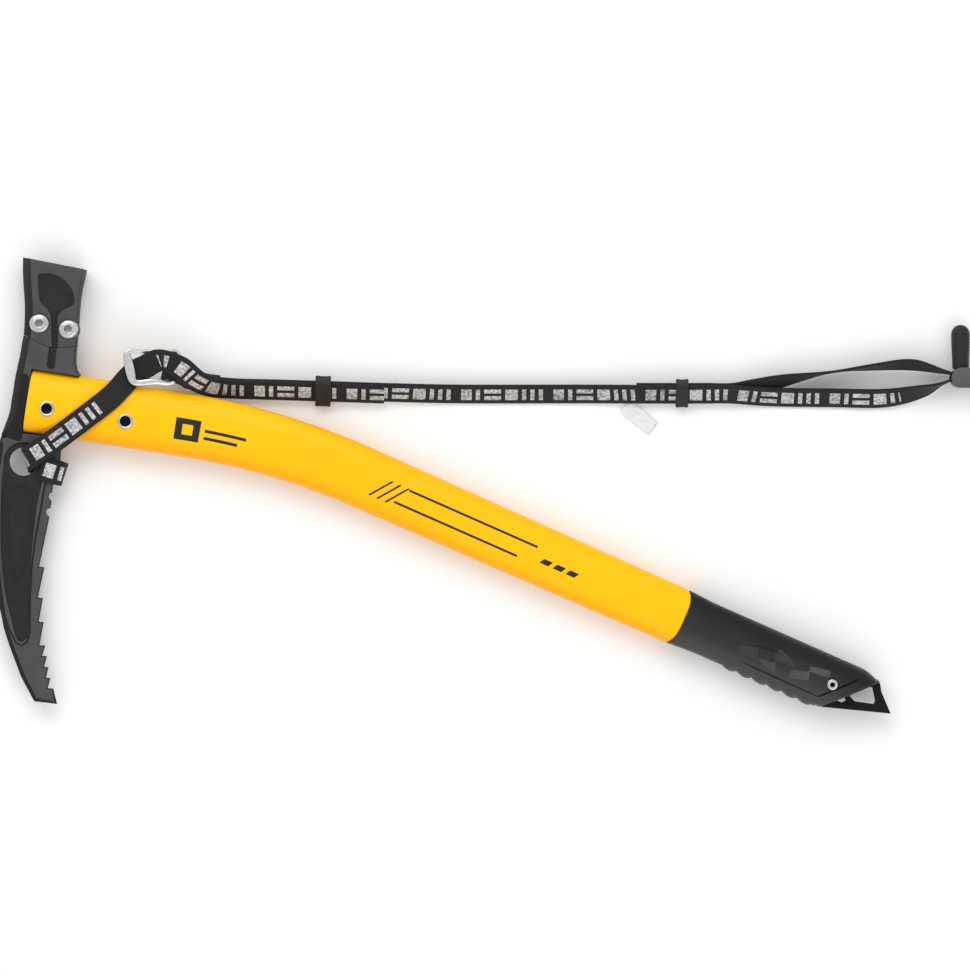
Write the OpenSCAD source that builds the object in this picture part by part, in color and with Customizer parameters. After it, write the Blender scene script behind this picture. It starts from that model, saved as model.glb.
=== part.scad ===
// Mountaineering ice axe: forged pick and hammer head on a bent tube shaft, rubber grip with a spike,
// and a webbing wrist leash. The axe lies on its side with +Z up, head towards -X, hammer towards +Y.

/* [Head] */
// Diameter of the karabiner hole
eye_d = 14.8; // [12:0.2:16]
// Thickness of the pick along its ground edge
blade_t = 4.8; // [4:0.2:5.6]
// Thickness of the raised middle of the pick
core_t = 7; // [6.4:0.2:8]
// Thickness of the neck between the shaft and the hammer
neck_t = 16; // [15:0.5:17]
// Depth of the forged recesses
recess_depth = 0.8; // [0.4:0.1:1]
// Width of the gap left between the hammer and the neck
seam_gap = 0.6; // [0.3:0.1:1]

/* [Hammer bolts] */
// Thread diameter of the bolts
bolt_d = 6; // [5:0.5:6]
// Diameter of the domed bolt heads
bolt_head_d = 10.4; // [9.5:0.1:11]
// Height of the domed bolt heads
bolt_head_h = 3.3; // [2.6:0.1:3.5]
// Size of the hexagon socket, across its flats
hex_af = 4; // [3:0.5:4]

/* [Shaft] */
// Depth of the tube at the head
shaft_depth = 33.4; // [32:0.2:34]
// Thickness of the tube at the head
shaft_t = 20; // [19:0.2:21]
// Depth of the tube where the grip starts
grip_depth = 30; // [29:0.2:31]
// Thickness of the tube where the grip starts
grip_start_t = 18.8; // [18:0.2:19.6]
// Wall of the tube
wall = 1.6; // [1.2:0.1:1.8]
// Slope of the straight part next to the head, in degrees
head_slope = 9.1; // [8:0.1:10]
// Slope of the straight part next to the spike, in degrees
spike_slope = 23.8; // [23:0.1:25]
// Bend radius of the centre line
bend_r = 380; // [350:5:420]

/* [Grip and spike] */
// Greatest thickness of the rubber grip
grip_t = 24; // [22:0.5:24]
// Number of ribs under the grip
ribs = 6; // [4:1:7]
// Distance from rib to rib
rib_pitch = 8.6; // [8:0.1:9]
// Thickness of the spike plate
spike_t = 5; // [4:0.2:5.4]

/* [Leash] */
// Width of the webbing
web_w = 12.4; // [11.6:0.2:12.8]
// Thickness of the webbing
web_t = 1.4; // [1.2:0.1:1.7]
// Width of the buckle plate along its open side
buckle_w = 31; // [29:0.5:33]
// Thickness of the buckle plate
buckle_t = 2; // [1.6:0.1:2]
// Length of the leash keeper next to the buckle
keeper_l = 8; // [6:0.5:10]
// Length of the leash keeper next to the wrist loop
wrist_keeper_l = 6.5; // [5:0.5:8]
// Diameter of the rubber finger on the toggle
finger_d = 9.8; // [8.8:0.2:10.4]

/* [Hidden] */
$fn = 48;
eps = 0.05;
fit = 0.1;
mid_z = 12;

// Head outlines start at the karabiner hole. A third number is the width of the bevel at that corner.
eye = [-218.5, 12.5];
bend = [-85.7, 23.9];
tube_start = -131.8;
tube_stop = 345;
side_count = 48;
section_power = 2.6;
bend_len = bend_r * tan((spike_slope - head_slope) / 2);
bend_steps = 10;
grip_start = 232;
grip_lead = 3.5;
swage = 2.6;
swage_t = 1.6;

blade_spine = [
  [-8, 18], [-10.6, 9], [-11.6, 4], [-12.8, -3], [-13.6, -12], [-14, -22], [-14, -32], [-13.8, -42],
  [-13.4, -52], [-12.4, -62], [-11, -71], [-10.7, -77], [-10.2, -87], [-8.4, -93], [-6.3, -99], [-4, -105],
  [-1.4, -112], [1.7, -118]
];
teeth = [
  [5.6, -125.3], [17.5, -126.7], [15.5, -118.7], [12.6, -118.5], [14.1, -113.2], [11.7, -113.1], [13, -107.5],
  [10.7, -107.4], [12.2, -101.7], [9.7, -101.6], [11.3, -96.2], [8.3, -96], [10.5, -83.9], [7.9, -83.8],
  [10.1, -71.4], [7.5, -71.2], [10.9, -55.2], [8.1, -55], [13.2, -30.4], [14.3, -22.7], [15.3, -13.2],
  [17, -9], [18.6, -4], [19.4, 3], [20, 24], [-2, 24]
];
core_edge = [
  [-4.5, -96, 1.6], [-1, -97.5, 1.6], [3, -95, 1.6], [4.6, -90, 1.6], [4.8, -72, 1.6], [5.6, -56, 1.6],
  [7.4, -41, 1.6], [10, -27, 1.6], [12.6, -12, 1.6], [16.6, -2, 1.6], [17, 21, 1.6], [-3, 21, 1]
];
core_back = [
  [-11.4, 14, 4], [-12.8, 10, 4], [-14, 5, 3.6], [-15.2, -2, 3.4], [-16, -12, 3.4], [-16.4, -22, 3.4],
  [-16.4, -32, 3.4], [-16.2, -42, 3.4], [-15.8, -52, 3.4], [-14.8, -62, 3.2], [-13.3, -72, 3],
  [-11.8, -80, 2.6], [-8.6, -88, 2]
];
neck = [
  [-11.4, 14], [-4, 10.8], [-0.9, 10.8], [5.2, 48.9], [29.9, 45], [28.2, 47.6], [27.5, 51],
  [27.5, 56], [28, 60], [18.6, 59], [12.5, 59.8], [0.3, 66], [-0.7, 61], [-1.5, 56], [-2.8, 50], [-4.1, 44],
  [-5, 38], [-6, 32], [-7, 26], [-9, 20]
];
hammer_edge = [
  [0.3, 66.2, 2], [12.5, 60, 0.5], [18.6, 59.2, 0.5], [28, 60.2, 0.6], [28.4, 65, 0.7], [28.9, 71, 0.8],
  [29.3, 77, 0.9], [29.8, 83, 1], [30.7, 89, 1.1], [31.9, 94.5, 1.2], [33, 99.5, 1.6],
  [0, 106, 2.4], [0, 98, 4.4], [0.4, 90, 4.4], [0.9, 83, 4.4], [1, 77, 4.4], [0.8, 71, 3.4]
];
fan = [
  [9.2, 83.2], [8.4, 95.6], [10, 97.2], [14, 97.4], [17.8, 96.6], [21, 94.8], [23.6, 92.4], [25.8, 89.4],
  [27, 86], [27.4, 82.8], [26.4, 80.8], [24, 79.6], [21, 78.2], [19.2, 76], [18.4, 73], [18.6, 57],
  [15.6, 57], [15, 73], [14.4, 76.4], [12.6, 79.6]
];
recess_sides = [
  [-11, -9], [-11.8, -28], [-11.4, -50], [-9.2, -69], [-6.4, -81], [-4.6, -89], [-3, -93],
  [-0.8, -94], [1.6, -92.6], [2.8, -89], [3.2, -70], [4.2, -52], [6.6, -27], [9.6, -12], [10.5, -5]
];
recess_r = 10.2;
recess = concat([for (a = [-5 : 15 : 190]) recess_r * [cos(a), sin(a)]], recess_sides);
pill_outer = [
  [-8.8, -36], [-5.8, -57], [-4, -60.2], [-1.4, -60.4], [0.6, -56], [3.6, -34], [4.8, -17.4], [2.6, -13],
  [-3.4, -11.4], [-8.6, -13.4], [-9.9, -17]
];
pill_inner = [
  [-7.6, -36], [-4.8, -56], [-3.4, -58.8], [-2, -58.8], [-0.6, -55.6], [2.4, -34], [3.6, -17.8], [1.8, -14.2],
  [-3.2, -12.8], [-7.6, -14.4], [-8.6, -17.2]
];
hammer_base_y = 60;
hammer_flare = 0.055;
scallop_r = 2.2;
scallops = [[15.2, -18.3], [13.9, -26.5]];
bolts = [[9, 72], [24, 69]];
tab_t = 6;
bolt_seat = neck_t / 2 + 0.2;
fuller_w = 5.2;
fuller_top = [0.6, 46];
fuller_foot = [-2.8, 18.2];
tongue_w = 4.2;

// Positions along the shaft start at the point where the two straight parts would meet.
rivet_u = [-121, -79.5];
plug_u = -101.5;
head_v = -3;
rivet_hole_d = 5.5;
rivet_shank_d = 6.8;
rivet_rim_d = 8.4;
plug_d = 8.2;
seat_z = shaft_t / 2 - 0.5;
tang_stop = -68;
end_angle = 46;
end_u = 325.7;
cap_t = 2.1;
spike_rivet = [316.4, 0];
spike_rim_d = 6;
spike_outline = [
  [304, -6], [304, 6], [318, 8], [334, 9.6], [339.5, 10.8], [341.8, 7], [351, -1.6], [316.6, -12.9],
  [315.7, -9.6]
];
spike_window = [
  [333.7, 5.9], [336.8, 7.2], [341, 1.3], [341, -0.6], [331.3, -3.4], [327.6, -1.8]
];
spike_slot = [[322.4, -5.9], [324.9, -3.5], [325.6, -4.4], [324.2, -5.6]];

// The leash: each stop gives the middle of the webbing and the direction across its width.
flat = [0, 0.75, 0.66];
lift = [0, -0.66, 0.75];
layer = web_t + 0.15;
half_up = lift * layer / 2;
run_z = 7.9;
run_a = [-112, 51, run_z];
run_b = [-26, 48.2, run_z];
run_stops = [for (k = [0 : 3]) run_a + (run_b - run_a) * k / 3];
wrist_z = 7.3;
wrist_stops = [for (k = [0 : 4]) [102 + 12.5 * k, 48.3, wrist_z]];
keeper_pos = [-62, 49.4, run_z];
wrist_keeper_pos = [126, 48.3, wrist_z];
diagonal = [-0.6, 0.8, 0];
head_route = [
  [[-209.3, 9.2, 16.5], [0.3, 0.95, 0]],
  [[-204, 7.6, 16.5], [0.3, 0.95, 0]],
  [[-199.4, 6.2, 15.6], [0.3, 0.95, 0]],
  [[-197.4, 5.8, 12], [0.3, 0.95, 0]],
  [[-199.4, 6.4, 7.6], [0.3, 0.95, 0]],
  [[-206, 9, 6.7], [0, 1, 0]],
  [[-213, 12.3, 6.8], [0.1, 0.99, 0]],
  [[-216.2, 13, 9.6], [-0.12, 0.99, 0]],
  [[-216.5, 13.6, 14], [-0.4, 0.9, 0]],
  [[-213.4, 15.8, 18.4], diagonal],
  [[-204.5, 21.4, 21.2], diagonal],
  [[-190, 32, 23], diagonal],
  [[-174, 44.4, 22.9], [-0.6, 0.8, -0.05]],
  [[-167.8, 50.6, 21.1], [-0.55, 0.8, -0.25]],
  [[-162.6, 56.6, 18.7], [-0.4, 0.85, -0.02]],
  [[-158.2, 60.2, 18.6], [-0.25, 0.9, 0.05]],
  [[-153.8, 62.1, 20.8], [-0.1, 0.85, 0.25]],
  [[-149.6, 64.4, 24.2], [0, 0.8, 0.45]],
  [[-144.2, 65.2, 27], [0, 0.8, 0.5]],
  [[-136.2, 61.6, 26.2], [0, 0.85, 0.42]],
  [[-128.6, 55.2, 18.2], flat],
  [[-121, 51.8, 11.8], flat],
  for (k = [0 : 2]) [run_stops[k] + half_up, flat],
  [run_b + half_up + [-4, 0.1, 0], flat]
];
wrist_route = [
  [[-117, 52.9, 5.8], flat],
  [[-127, 54.8, 7.8], flat],
  [[-137.6, 59.6, 13], [0.2, 0.93, 0.1]],
  [[-142.4, 61.2, 14.2], [0.24, 0.96, 0]],
  [[-144.6, 61.4, 17.1], [0.24, 0.96, 0]],
  [[-142.2, 61.2, 20.7], [0.24, 0.96, 0]],
  [[-136, 59.8, 20.4], [0.2, 0.95, 0]],
  [[-128, 54.6, 11.8], flat],
  for (p = run_stops) [p - half_up, flat],
  [[10, 48, 5], flat],
  [[75, 48, 5], flat],
  for (p = wrist_stops) [p + half_up, flat],
  [[174, 46.4, 5], flat],
  [[204, 46, 5], flat],
  [[232, 45.8, 5.4], flat],
  [[252, 49.4, 7.4], [0.1, 0.5, 0.85]],
  [[262, 53.2, 8.2], [0, 0.1, 0.99]],
  [[267.5, 55.4, 8.2], [0, 0, 1]],
  [[271.2, 55.5, 8.2], [0, 0, 1]],
  [[273.1, 57, 8.2], [0, 0, 1]],
  [[271.2, 58.5, 8.2], [0, 0, 1]],
  [[267.5, 58.6, 8.2], [0, 0, 1]],
  [[262, 59.8, 8.2], [0, 0.1, 0.99]],
  [[246, 63.2, 7.8], [0, 0.4, 0.92]],
  [[226, 62, 7.2], [0, 0.2, 0.98]],
  [[204, 59.4, 7], [0, 0, 1]],
  [[178, 54.6, 7.2], [0, 0.5, 0.85]],
  [[164, 51, 6.6], flat],
  for (k = [4 : -1 : 0]) [wrist_stops[k] - half_up, flat]
];
buckle_pos = [-150.6, 61.4, 19.8];
buckle_tilt = 12;
toggle_pos = [271.8, 56.4, 8.2];

function unit(a) = a / norm(a);
function xy(p) = [p[0], p[1]];
function power(c, e) = sign(c) * pow(abs(c), e);

// Outline of a slot of width w with round ends, from a to b.
function slot_shape(a, b, w) =
  let (
    t = atan2(b[1] - a[1], b[0] - a[0])
  )
  concat(
    [for (k = [0 : 8]) b + w / 2 * [cos(t - 90 + k * 22.5), sin(t - 90 + k * 22.5)]],
    [for (k = [0 : 8]) a + w / 2 * [cos(t + 90 + k * 22.5), sin(t + 90 + k * 22.5)]]
  );

// Outline of a band of width w along three points.
function band(p, w) =
  let (
    a = unit(p[1] - p[0]),
    b = unit(p[2] - p[1]),
    na = [-a[1], a[0]] * w / 2,
    nb = [-b[1], b[0]] * w / 2,
    m = (na + nb) / (1 + a * b)
  )
  [p[0] - na, p[1] - m, p[2] - nb, p[2] + nb, p[1] + m, p[0] + na];

// Corner moved inwards by its own bevel, for an outline that runs anticlockwise.
function inward(p, i) =
  let (
    n = len(p),
    a = unit(xy(p[i]) - xy(p[(i + n - 1) % n])),
    b = unit(xy(p[(i + 1) % n]) - xy(p[i])),
    na = [-a[1], a[0]],
    nb = [-b[1], b[0]]
  )
  xy(p[i]) + (na + nb) * p[i][2] / max(0.35, 1 + na * nb);

function tube_point(u) =
  u < -bend_len ? bend + u * [cos(head_slope), -sin(head_slope)]
  : u > bend_len ? bend + u * [cos(spike_slope), -sin(spike_slope)]
  : let (
      t = head_slope + (spike_slope - head_slope) * (u + bend_len) / (2 * bend_len),
      s = bend - bend_len * [cos(head_slope), -sin(head_slope)]
    )
    s + bend_r * [sin(t) - sin(head_slope), cos(t) - cos(head_slope)];

function tube_slope(u) =
  u < -bend_len ? head_slope
  : u > bend_len ? spike_slope
  : head_slope + (spike_slope - head_slope) * (u + bend_len) / (2 * bend_len);

function shaft_share(u) = min(1, max(0, (u + bend_len) / (grip_start + bend_len)));
function half_depth(u) = (shaft_depth + (grip_depth - shaft_depth) * shaft_share(u)) / 2;
function half_t(u) = (shaft_t + (grip_start_t - shaft_t) * shaft_share(u)) / 2;

// A ring of the tube: skew pulls its upper and lower edges back along the shaft.
function tube_ring(u, a, b, skew = 0) =
  let (
    c = tube_point(u),
    s = tube_slope(u)
  )
  [
    for (k = [0 : side_count - 1])
      let (
        v = a * power(cos(360 * k / side_count), 2 / section_power),
        z = b * power(sin(360 * k / side_count), 2 / section_power),
        back = skew * pow(abs(v) / grip_depth * 2, 4)
      )
      [
        c[0] + v * sin(s) - back * cos(s),
        c[1] + v * cos(s) + back * sin(s),
        mid_z + z
      ]
  ];

// Ring corners from a route stop: a flat eight-sided strip across the direction of travel.
function web_ring(p, along, across, w, t) =
  let (
    x = unit(along),
    a = unit(across - (across * x) * x),
    n = cross(x, a),
    e = t * 0.28
  )
  [
    for (q = [
      [w / 2, t / 2 - e], [w / 2 - e, t / 2], [e - w / 2, t / 2], [-w / 2, t / 2 - e],
      [-w / 2, e - t / 2], [e - w / 2, -t / 2], [w / 2 - e, -t / 2], [w / 2, e - t / 2]
    ])
      p + a * q[0] + n * q[1]
  ];

function mix(a, b, c, d, t) =
  (2 * b + (c - a) * t + (2 * a - 5 * b + 4 * c - d) * t * t + (3 * b - a - 3 * c + d) * t * t * t) / 2;

function at(r, i) = r[min(len(r) - 1, max(0, i))];
function smooth(r, steps) = [
  for (i = [0 : len(r) - 2])
    for (k = [0 : i == len(r) - 2 ? steps : steps - 1])
      [
        for (m = [0, 1])
          mix(at(r, i - 1)[m], r[i][m], r[i + 1][m], at(r, i + 2)[m], k / steps)
      ]
];

module skin(rings) {
  n = len(rings[0]);
  last = len(rings) - 1;
  polyhedron(
    points = [for (r = rings) each r],
    faces = concat(
      [[for (k = [0 : n - 1]) k]],
      [[for (k = [0 : n - 1]) last * n + n - 1 - k]],
      [
        for (i = [0 : last - 1])
          for (k = [0 : n - 1])
            for (f = [
              [i * n + k, (i + 1) * n + k, i * n + (k + 1) % n],
              [i * n + (k + 1) % n, (i + 1) * n + k, (i + 1) * n + (k + 1) % n]
            ])
              f
      ]
    )
  );
}

module web(route, w, t, steps) {
  r = smooth(route, steps);
  skin([
    for (i = [0 : len(r) - 1])
      web_ring(r[i][0], at(r, i + 1)[0] - at(r, i - 1)[0], r[i][1], w, t)
  ]);
}

// A forging: upright edge of height rim, then bevels up to faces whose half thickness is top + rise * y.
module forging(p, rim, top, rise = 0, y0 = 0) {
  n = len(p);
  inner = [for (i = [0 : n - 1]) inward(p, i)];
  high = [for (q = inner) top + rise * (q[1] - y0)];
  skin([
    [for (i = [0 : n - 1]) [inner[i][0], inner[i][1], -high[i]]],
    [for (i = [0 : n - 1]) [p[i][0], p[i][1], -rim]],
    [for (i = [0 : n - 1]) [p[i][0], p[i][1], rim]],
    [for (i = [0 : n - 1]) [inner[i][0], inner[i][1], high[i]]]
  ]);
}

module at_eye() {
  translate([eye[0], eye[1], mid_z])
    children();
}

// Frames with x along the shaft: one for the straight part at the head, one for that at the spike.
module at_head_shaft() {
  translate([bend[0], bend[1], mid_z])
    rotate([0, 0, -head_slope])
      children();
}

module at_spike_shaft() {
  translate([bend[0], bend[1], mid_z])
    rotate([0, 0, -spike_slope])
      children();
}

module both_sides() {
  children();
  mirror([0, 0, 1])
    children();
}

module outline(points, z0, z1) {
  translate([0, 0, z0])
    linear_extrude(z1 - z0)
      polygon(points);
}

module shaft_section(grow) {
  polygon([
    for (k = [0 : side_count - 1])
      [
        (shaft_depth / 2 + grow) * power(cos(360 * k / side_count), 2 / section_power),
        (shaft_t / 2 + grow) * power(sin(360 * k / side_count), 2 / section_power)
      ]
  ]);
}

module shaft_room() {
  at_head_shaft()
    translate([tube_start - 2.9, 0, 0])
      rotate([90, 0, 90])
        linear_extrude(80)
          shaft_section(fit);
}

// Everything past the slanted end of the shaft, starting a given distance beyond the grip.
module beyond_end(gap) {
  at_spike_shaft()
    translate([end_u, 0, 0])
      rotate([0, 0, end_angle])
        translate([-60, -60 - gap, -30])
          cube([120, 60, 60]);
}

module tang() {
  plate_w = shaft_depth - 2 * wall - 3.4;
  pad_w = 12;
  pad_t = shaft_t - 2 * wall - 1.2;
  at_head_shaft() {
    translate([tube_start - 3, -plate_w / 2, -4])
      cube([tang_stop - tube_start + 3, plate_w, 8]);
    translate([tube_start - 0.8, -pad_w / 2, -pad_t / 2])
      cube([tang_stop - tube_start + 0.8, pad_w, pad_t]);
  }
}

module head_marks() {
  both_sides() {
    difference() {
      outline(recess, core_t / 2 - recess_depth, core_t);
      difference() {
        outline(pill_outer, 0, core_t / 2 - 0.3);
        outline(pill_inner, -1, core_t);
      }
    }
    outline(slot_shape(fuller_top, fuller_foot, fuller_w), neck_t / 2 - 1.6, neck_t);
    outline(slot_shape([16.2, 61], [14.9, 50.2], tongue_w), neck_t / 2 - recess_depth, neck_t);
  }
}

module head() {
  color("#3c3d40") {
    difference() {
      union() {
        difference() {
          at_eye() {
            outline(concat(blade_spine, teeth), -blade_t / 2, blade_t / 2);
            forging(concat(core_back, core_edge), 1.4, core_t / 2);
          }
          shaft_room();
        }
        at_eye()
          outline(neck, -neck_t / 2, neck_t / 2);
      }
      at_eye() {
        head_marks();
        translate([0, 0, -20])
          cylinder(h = 40, d = eye_d);
        for (s = scallops)
          translate([s[0], s[1], -20])
            cylinder(h = 40, r = scallop_r);
      }
    }
    difference() {
      tang();
      for (u = concat(rivet_u, plug_u))
        at_head_shaft()
          translate([u, head_v, -20])
            cylinder(h = 40, d = rivet_shank_d + fit);
    }
    difference() {
      at_eye()
        hammer_tab(0, tab_t, 0);
      at_eye()
        for (b = bolts)
          translate([b[0], b[1], -20])
            cylinder(h = 40, d = bolt_d + 2 * fit);
    }
  }
}

// The tab that stands up from the neck into the hammer's slot.
module hammer_tab(grow, t, reach) {
  translate([4.6 - grow, 50 - reach, -t / 2])
    cube([22.6 + 2 * grow + reach, 28.4 + grow + reach, t]);
}

module hammer() {
  color("#37383b")
    at_eye()
      difference() {
        translate([0, seam_gap, 0])
          forging(hammer_edge, 4, neck_t / 2, hammer_flare, hammer_base_y);
        hammer_tab(fit, tab_t + 2 * fit, 20);
        both_sides() {
          intersection() {
            outline(fan, 0, 20);
            rotate([atan(hammer_flare), 0, 0])
              translate([0, 50, neck_t / 2 - recess_depth - hammer_flare * hammer_base_y])
                cube([40, 60, 20]);
          }
          for (b = bolts)
            translate([b[0], b[1], bolt_seat])
              cylinder(h = 10, d = bolt_head_d + 0.6, $fn = 12);
        }
        for (b = bolts)
          translate([b[0], b[1], -20])
            cylinder(h = 40, d = bolt_d + 2 * fit);
      }
}

// Low dome of the given width and height, standing on z = 0.
module dome(d, h) {
  rim = 0.7;
  r = (pow(d / 2, 2) + pow(h - rim, 2)) / (2 * (h - rim));
  cylinder(h = rim, d = d);
  intersection() {
    translate([0, 0, h - r])
      sphere(r = r);
    translate([0, 0, rim])
      cylinder(h = h, d = d);
  }
}

module hammer_bolt(i) {
  color("#c9cbce")
    at_eye()
      translate([bolts[i][0], bolts[i][1], 0])
        difference() {
          union() {
            translate([0, 0, bolt_seat])
              dome(bolt_head_d, bolt_head_h);
            translate([0, 0, -bolt_seat])
              cylinder(h = 2 * bolt_seat, d = bolt_d);
          }
          translate([0, 0, bolt_seat + 1])
            cylinder(h = 5, d = hex_af / cos(30), $fn = 6);
        }
}

module hammer_nut(i) {
  color("#b9bbbe")
    at_eye()
      translate([bolts[i][0], bolts[i][1], -bolt_seat])
        mirror([0, 0, 1])
          dome(bolt_head_d, bolt_head_h);
}

module shaft_tube() {
  under_grip = grip_start + 1;
  steps = [for (k = [0 : bend_steps]) -bend_len + 2 * bend_len * k / bend_steps];
  stations = concat([tube_start], steps, [grip_start]);
  inner_stops = concat([tube_start - 5], steps, [grip_start - 14]);
  slim = [half_depth(grip_start) - swage, half_t(grip_start) - swage_t];
  color("#fdc800")
    difference() {
      skin(concat(
        [for (u = stations) tube_ring(u, half_depth(u), half_t(u), u == grip_start ? grip_lead : 0)],
        [tube_ring(grip_start, slim[0], slim[1], grip_lead)],
        [tube_ring(tube_stop, slim[0], slim[1])]
      ));
      skin(concat(
        [for (u = inner_stops) tube_ring(u, half_depth(u) - wall, half_t(u) - wall)],
        [tube_ring(grip_start - 6, slim[0] - wall, slim[1] - wall)],
        [tube_ring(tube_stop + 5, slim[0] - wall, slim[1] - wall)]
      ));
      beyond_end(0);
      at_head_shaft() {
        for (u = rivet_u)
          translate([u, head_v, 0]) {
            translate([0, 0, -20])
              cylinder(h = 40, d = rivet_shank_d + fit);
            both_sides()
              translate([0, 0, seat_z])
                cylinder(h = 5, d = rivet_rim_d + 0.4);
          }
        translate([plug_u, head_v, 0])
          cylinder(h = 20, d = plug_d + fit);
      }
      at_spike_shaft()
        translate([spike_rivet[0], spike_rivet[1], -20])
          cylinder(h = 40, d = 4 + fit);
    }
}

module shaft_plug() {
  color("#f2b900")
    at_head_shaft()
      translate([plug_u, head_v, shaft_t / 2 - wall])
        cylinder(h = wall - 0.1, d = plug_d);
}

// Semi-tubular rivet through the shaft, with a rolled rim and a blind hole at each end.
module tube_rivet(reach, rim_z, rim_d, shank_d, hole_d) {
  round = 0.4;
  rotate_extrude() {
    polygon([
      [0, -reach], [0, reach], [hole_d / 2, reach], [hole_d / 2, rim_z + 0.9], [rim_d / 2 - round, rim_z + 0.9],
      [rim_d / 2, rim_z + 0.9 - round], [rim_d / 2, rim_z], [shank_d / 2, rim_z], [shank_d / 2, -rim_z],
      [rim_d / 2, -rim_z], [rim_d / 2, round - 0.9 - rim_z], [rim_d / 2 - round, -0.9 - rim_z],
      [hole_d / 2, -0.9 - rim_z], [hole_d / 2, -reach]
    ]);
  }
}

module head_rivet(i) {
  color("#d9dadc")
    at_head_shaft()
      translate([rivet_u[i], head_v, 0])
        tube_rivet(5, seat_z, rivet_rim_d, rivet_shank_d, rivet_hole_d);
}

function grip_half(u) =
  let (
    s = min(1, max(0, (u - grip_start) / 50))
  )
  (grip_start_t + (grip_t - grip_start_t) * (3 - 2 * s) * s * s) / 2;

// Grip ring: the lower edge carries the ribs, so points below the middle are pushed out by swell.
function grip_ring(u, a, b, swell, skew = 0) = [
  for (p = tube_ring(u, a, b, skew))
    let (
      c = tube_point(u),
      v = (xy(p) - c) * [sin(spike_slope), cos(spike_slope)],
      push = v < -a * 0.5 ? swell * (-v / a - 0.5) * 2 : 0
    )
    [p[0] - push * sin(spike_slope), p[1] - push * cos(spike_slope), p[2]]
];

module grip() {
  slim = [half_depth(grip_start) - swage + eps, half_t(grip_start) - swage_t + eps];
  rib_start = grip_start + 28;
  rib_stops = [
    for (i = [0 : ribs - 1])
      for (q = [[0.1, -0.8], [0.75, 0.7], [0.95, 0.3]])
        [rib_start + (i + q[0]) * rib_pitch, q[1]]
  ];
  stops = concat(
    [[grip_start + 8, 0], [grip_start + 20, 0]], rib_stops, [[rib_start + ribs * rib_pitch + 4, 0]], [[tube_stop, 0]]
  );
  end_depth = grip_depth / 2 - 0.9;
  color("#2b2b2d")
    difference() {
      skin(concat(
        [tube_ring(grip_start - 10, 6, 4)],
        [tube_ring(grip_start + 3 * eps, slim[0] - 2 * eps, slim[1] - 2 * eps, grip_lead)],
        [tube_ring(grip_start + 3 * eps, half_depth(grip_start), half_t(grip_start), grip_lead)],
        [for (s = stops) grip_ring(s[0], end_depth, grip_half(s[0]), s[1])]
      ));
      skin([
        tube_ring(grip_start - 20, slim[0], slim[1]),
        tube_ring(tube_stop + 5, slim[0], slim[1])
      ]);
      beyond_end(0);
      at_spike_shaft() {
        both_sides()
          grip_groove();
        translate([spike_rivet[0], spike_rivet[1], -20])
          cylinder(h = 40, d = 4 + fit);
        both_sides()
          translate([spike_rivet[0], spike_rivet[1], grip_t / 2 - 1])
            cylinder(h = 5, d = spike_rim_d + 0.4);
      }
    }
}

module grip_groove() {
  outline(band([[261.6, -8.2], [312, -8.8], [328.5, 8.4]], 0.9), grip_t / 2 - 2.2, grip_t);
}

module spike_plug() {
  slim = [half_depth(grip_start) - swage - wall - fit, half_t(grip_start) - swage_t - wall - fit];
  color("#1f1f21")
    difference() {
      union() {
        difference() {
          skin([tube_ring(296, slim[0], slim[1]), tube_ring(tube_stop, slim[0], slim[1])]);
          beyond_end(0);
        }
        intersection() {
          skin([
            tube_ring(300, grip_depth / 2 - 1.1, grip_t / 2 - 1.2),
            tube_ring(333, grip_depth / 2 - 1.1, grip_t / 2 - 1.2),
            tube_ring(341, grip_depth / 2 - 4, grip_t / 2 - 4)
          ]);
          difference() {
            beyond_end(0);
            beyond_end(cap_t);
          }
        }
      }
      at_spike_shaft() {
        outline(spike_outline, -spike_t / 2 - eps, spike_t / 2 + eps);
        translate([spike_rivet[0], spike_rivet[1], -20])
          cylinder(h = 40, d = 4 + fit);
      }
    }
}

module spike() {
  color("#161617")
    at_spike_shaft()
      difference() {
        outline(spike_outline, -spike_t / 2, spike_t / 2);
        outline(spike_window, -10, 10);
        outline(spike_slot, -10, 10);
        translate([spike_rivet[0], spike_rivet[1], -20])
          cylinder(h = 40, d = 4 + fit);
      }
}

module spike_rivet() {
  color("#d9dadc")
    at_spike_shaft()
      translate([spike_rivet[0], spike_rivet[1], 0])
        tube_rivet(6, grip_t / 2 - 1, spike_rim_d, 4, 2.4);
}

module head_strap() {
  color("#1c1c1e")
    web(head_route, web_w, web_t, 2);
}

module wrist_strap() {
  color("#202022")
    web(wrist_route, web_w, web_t, 2);
}

module buckle() {
  bottom = buckle_w - 6;
  color("#d4d6d8")
    translate(buckle_pos)
      rotate([0, buckle_tilt, 0])
        translate([0, 0, -buckle_t / 2])
          linear_extrude(buckle_t)
            difference() {
              polygon([
                [-bottom / 2, -9.6], [bottom / 2, -9.6], [buckle_w / 2, 8.6], [buckle_w / 2 - 1.4, 9.8],
                [1.4 - buckle_w / 2, 9.8], [-buckle_w / 2, 8.6]
              ]);
              polygon([
                [4 - bottom / 2, -6.2], [bottom / 2 - 4, -6.2], [buckle_w / 2 - 5.4, 7], [5.4 - buckle_w / 2, 7]
              ]);
            }
}

// Moulded band round the doubled webbing.
module keeper(pos, along, l, thick) {
  room_w = web_w + 0.6;
  room_t = web_t + layer + 0.5;
  tilt = atan2(flat[2], flat[1]);
  color("#242426")
    translate(pos)
      rotate([0, 0, along])
        rotate([tilt, 0, 0])
          difference() {
            keeper_block(room_w + 2 * thick, room_t + 2 * thick, l, thick);
            translate([-l, -room_w / 2, -room_t / 2])
              cube([2 * l, room_w, room_t]);
          }
}

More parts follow.
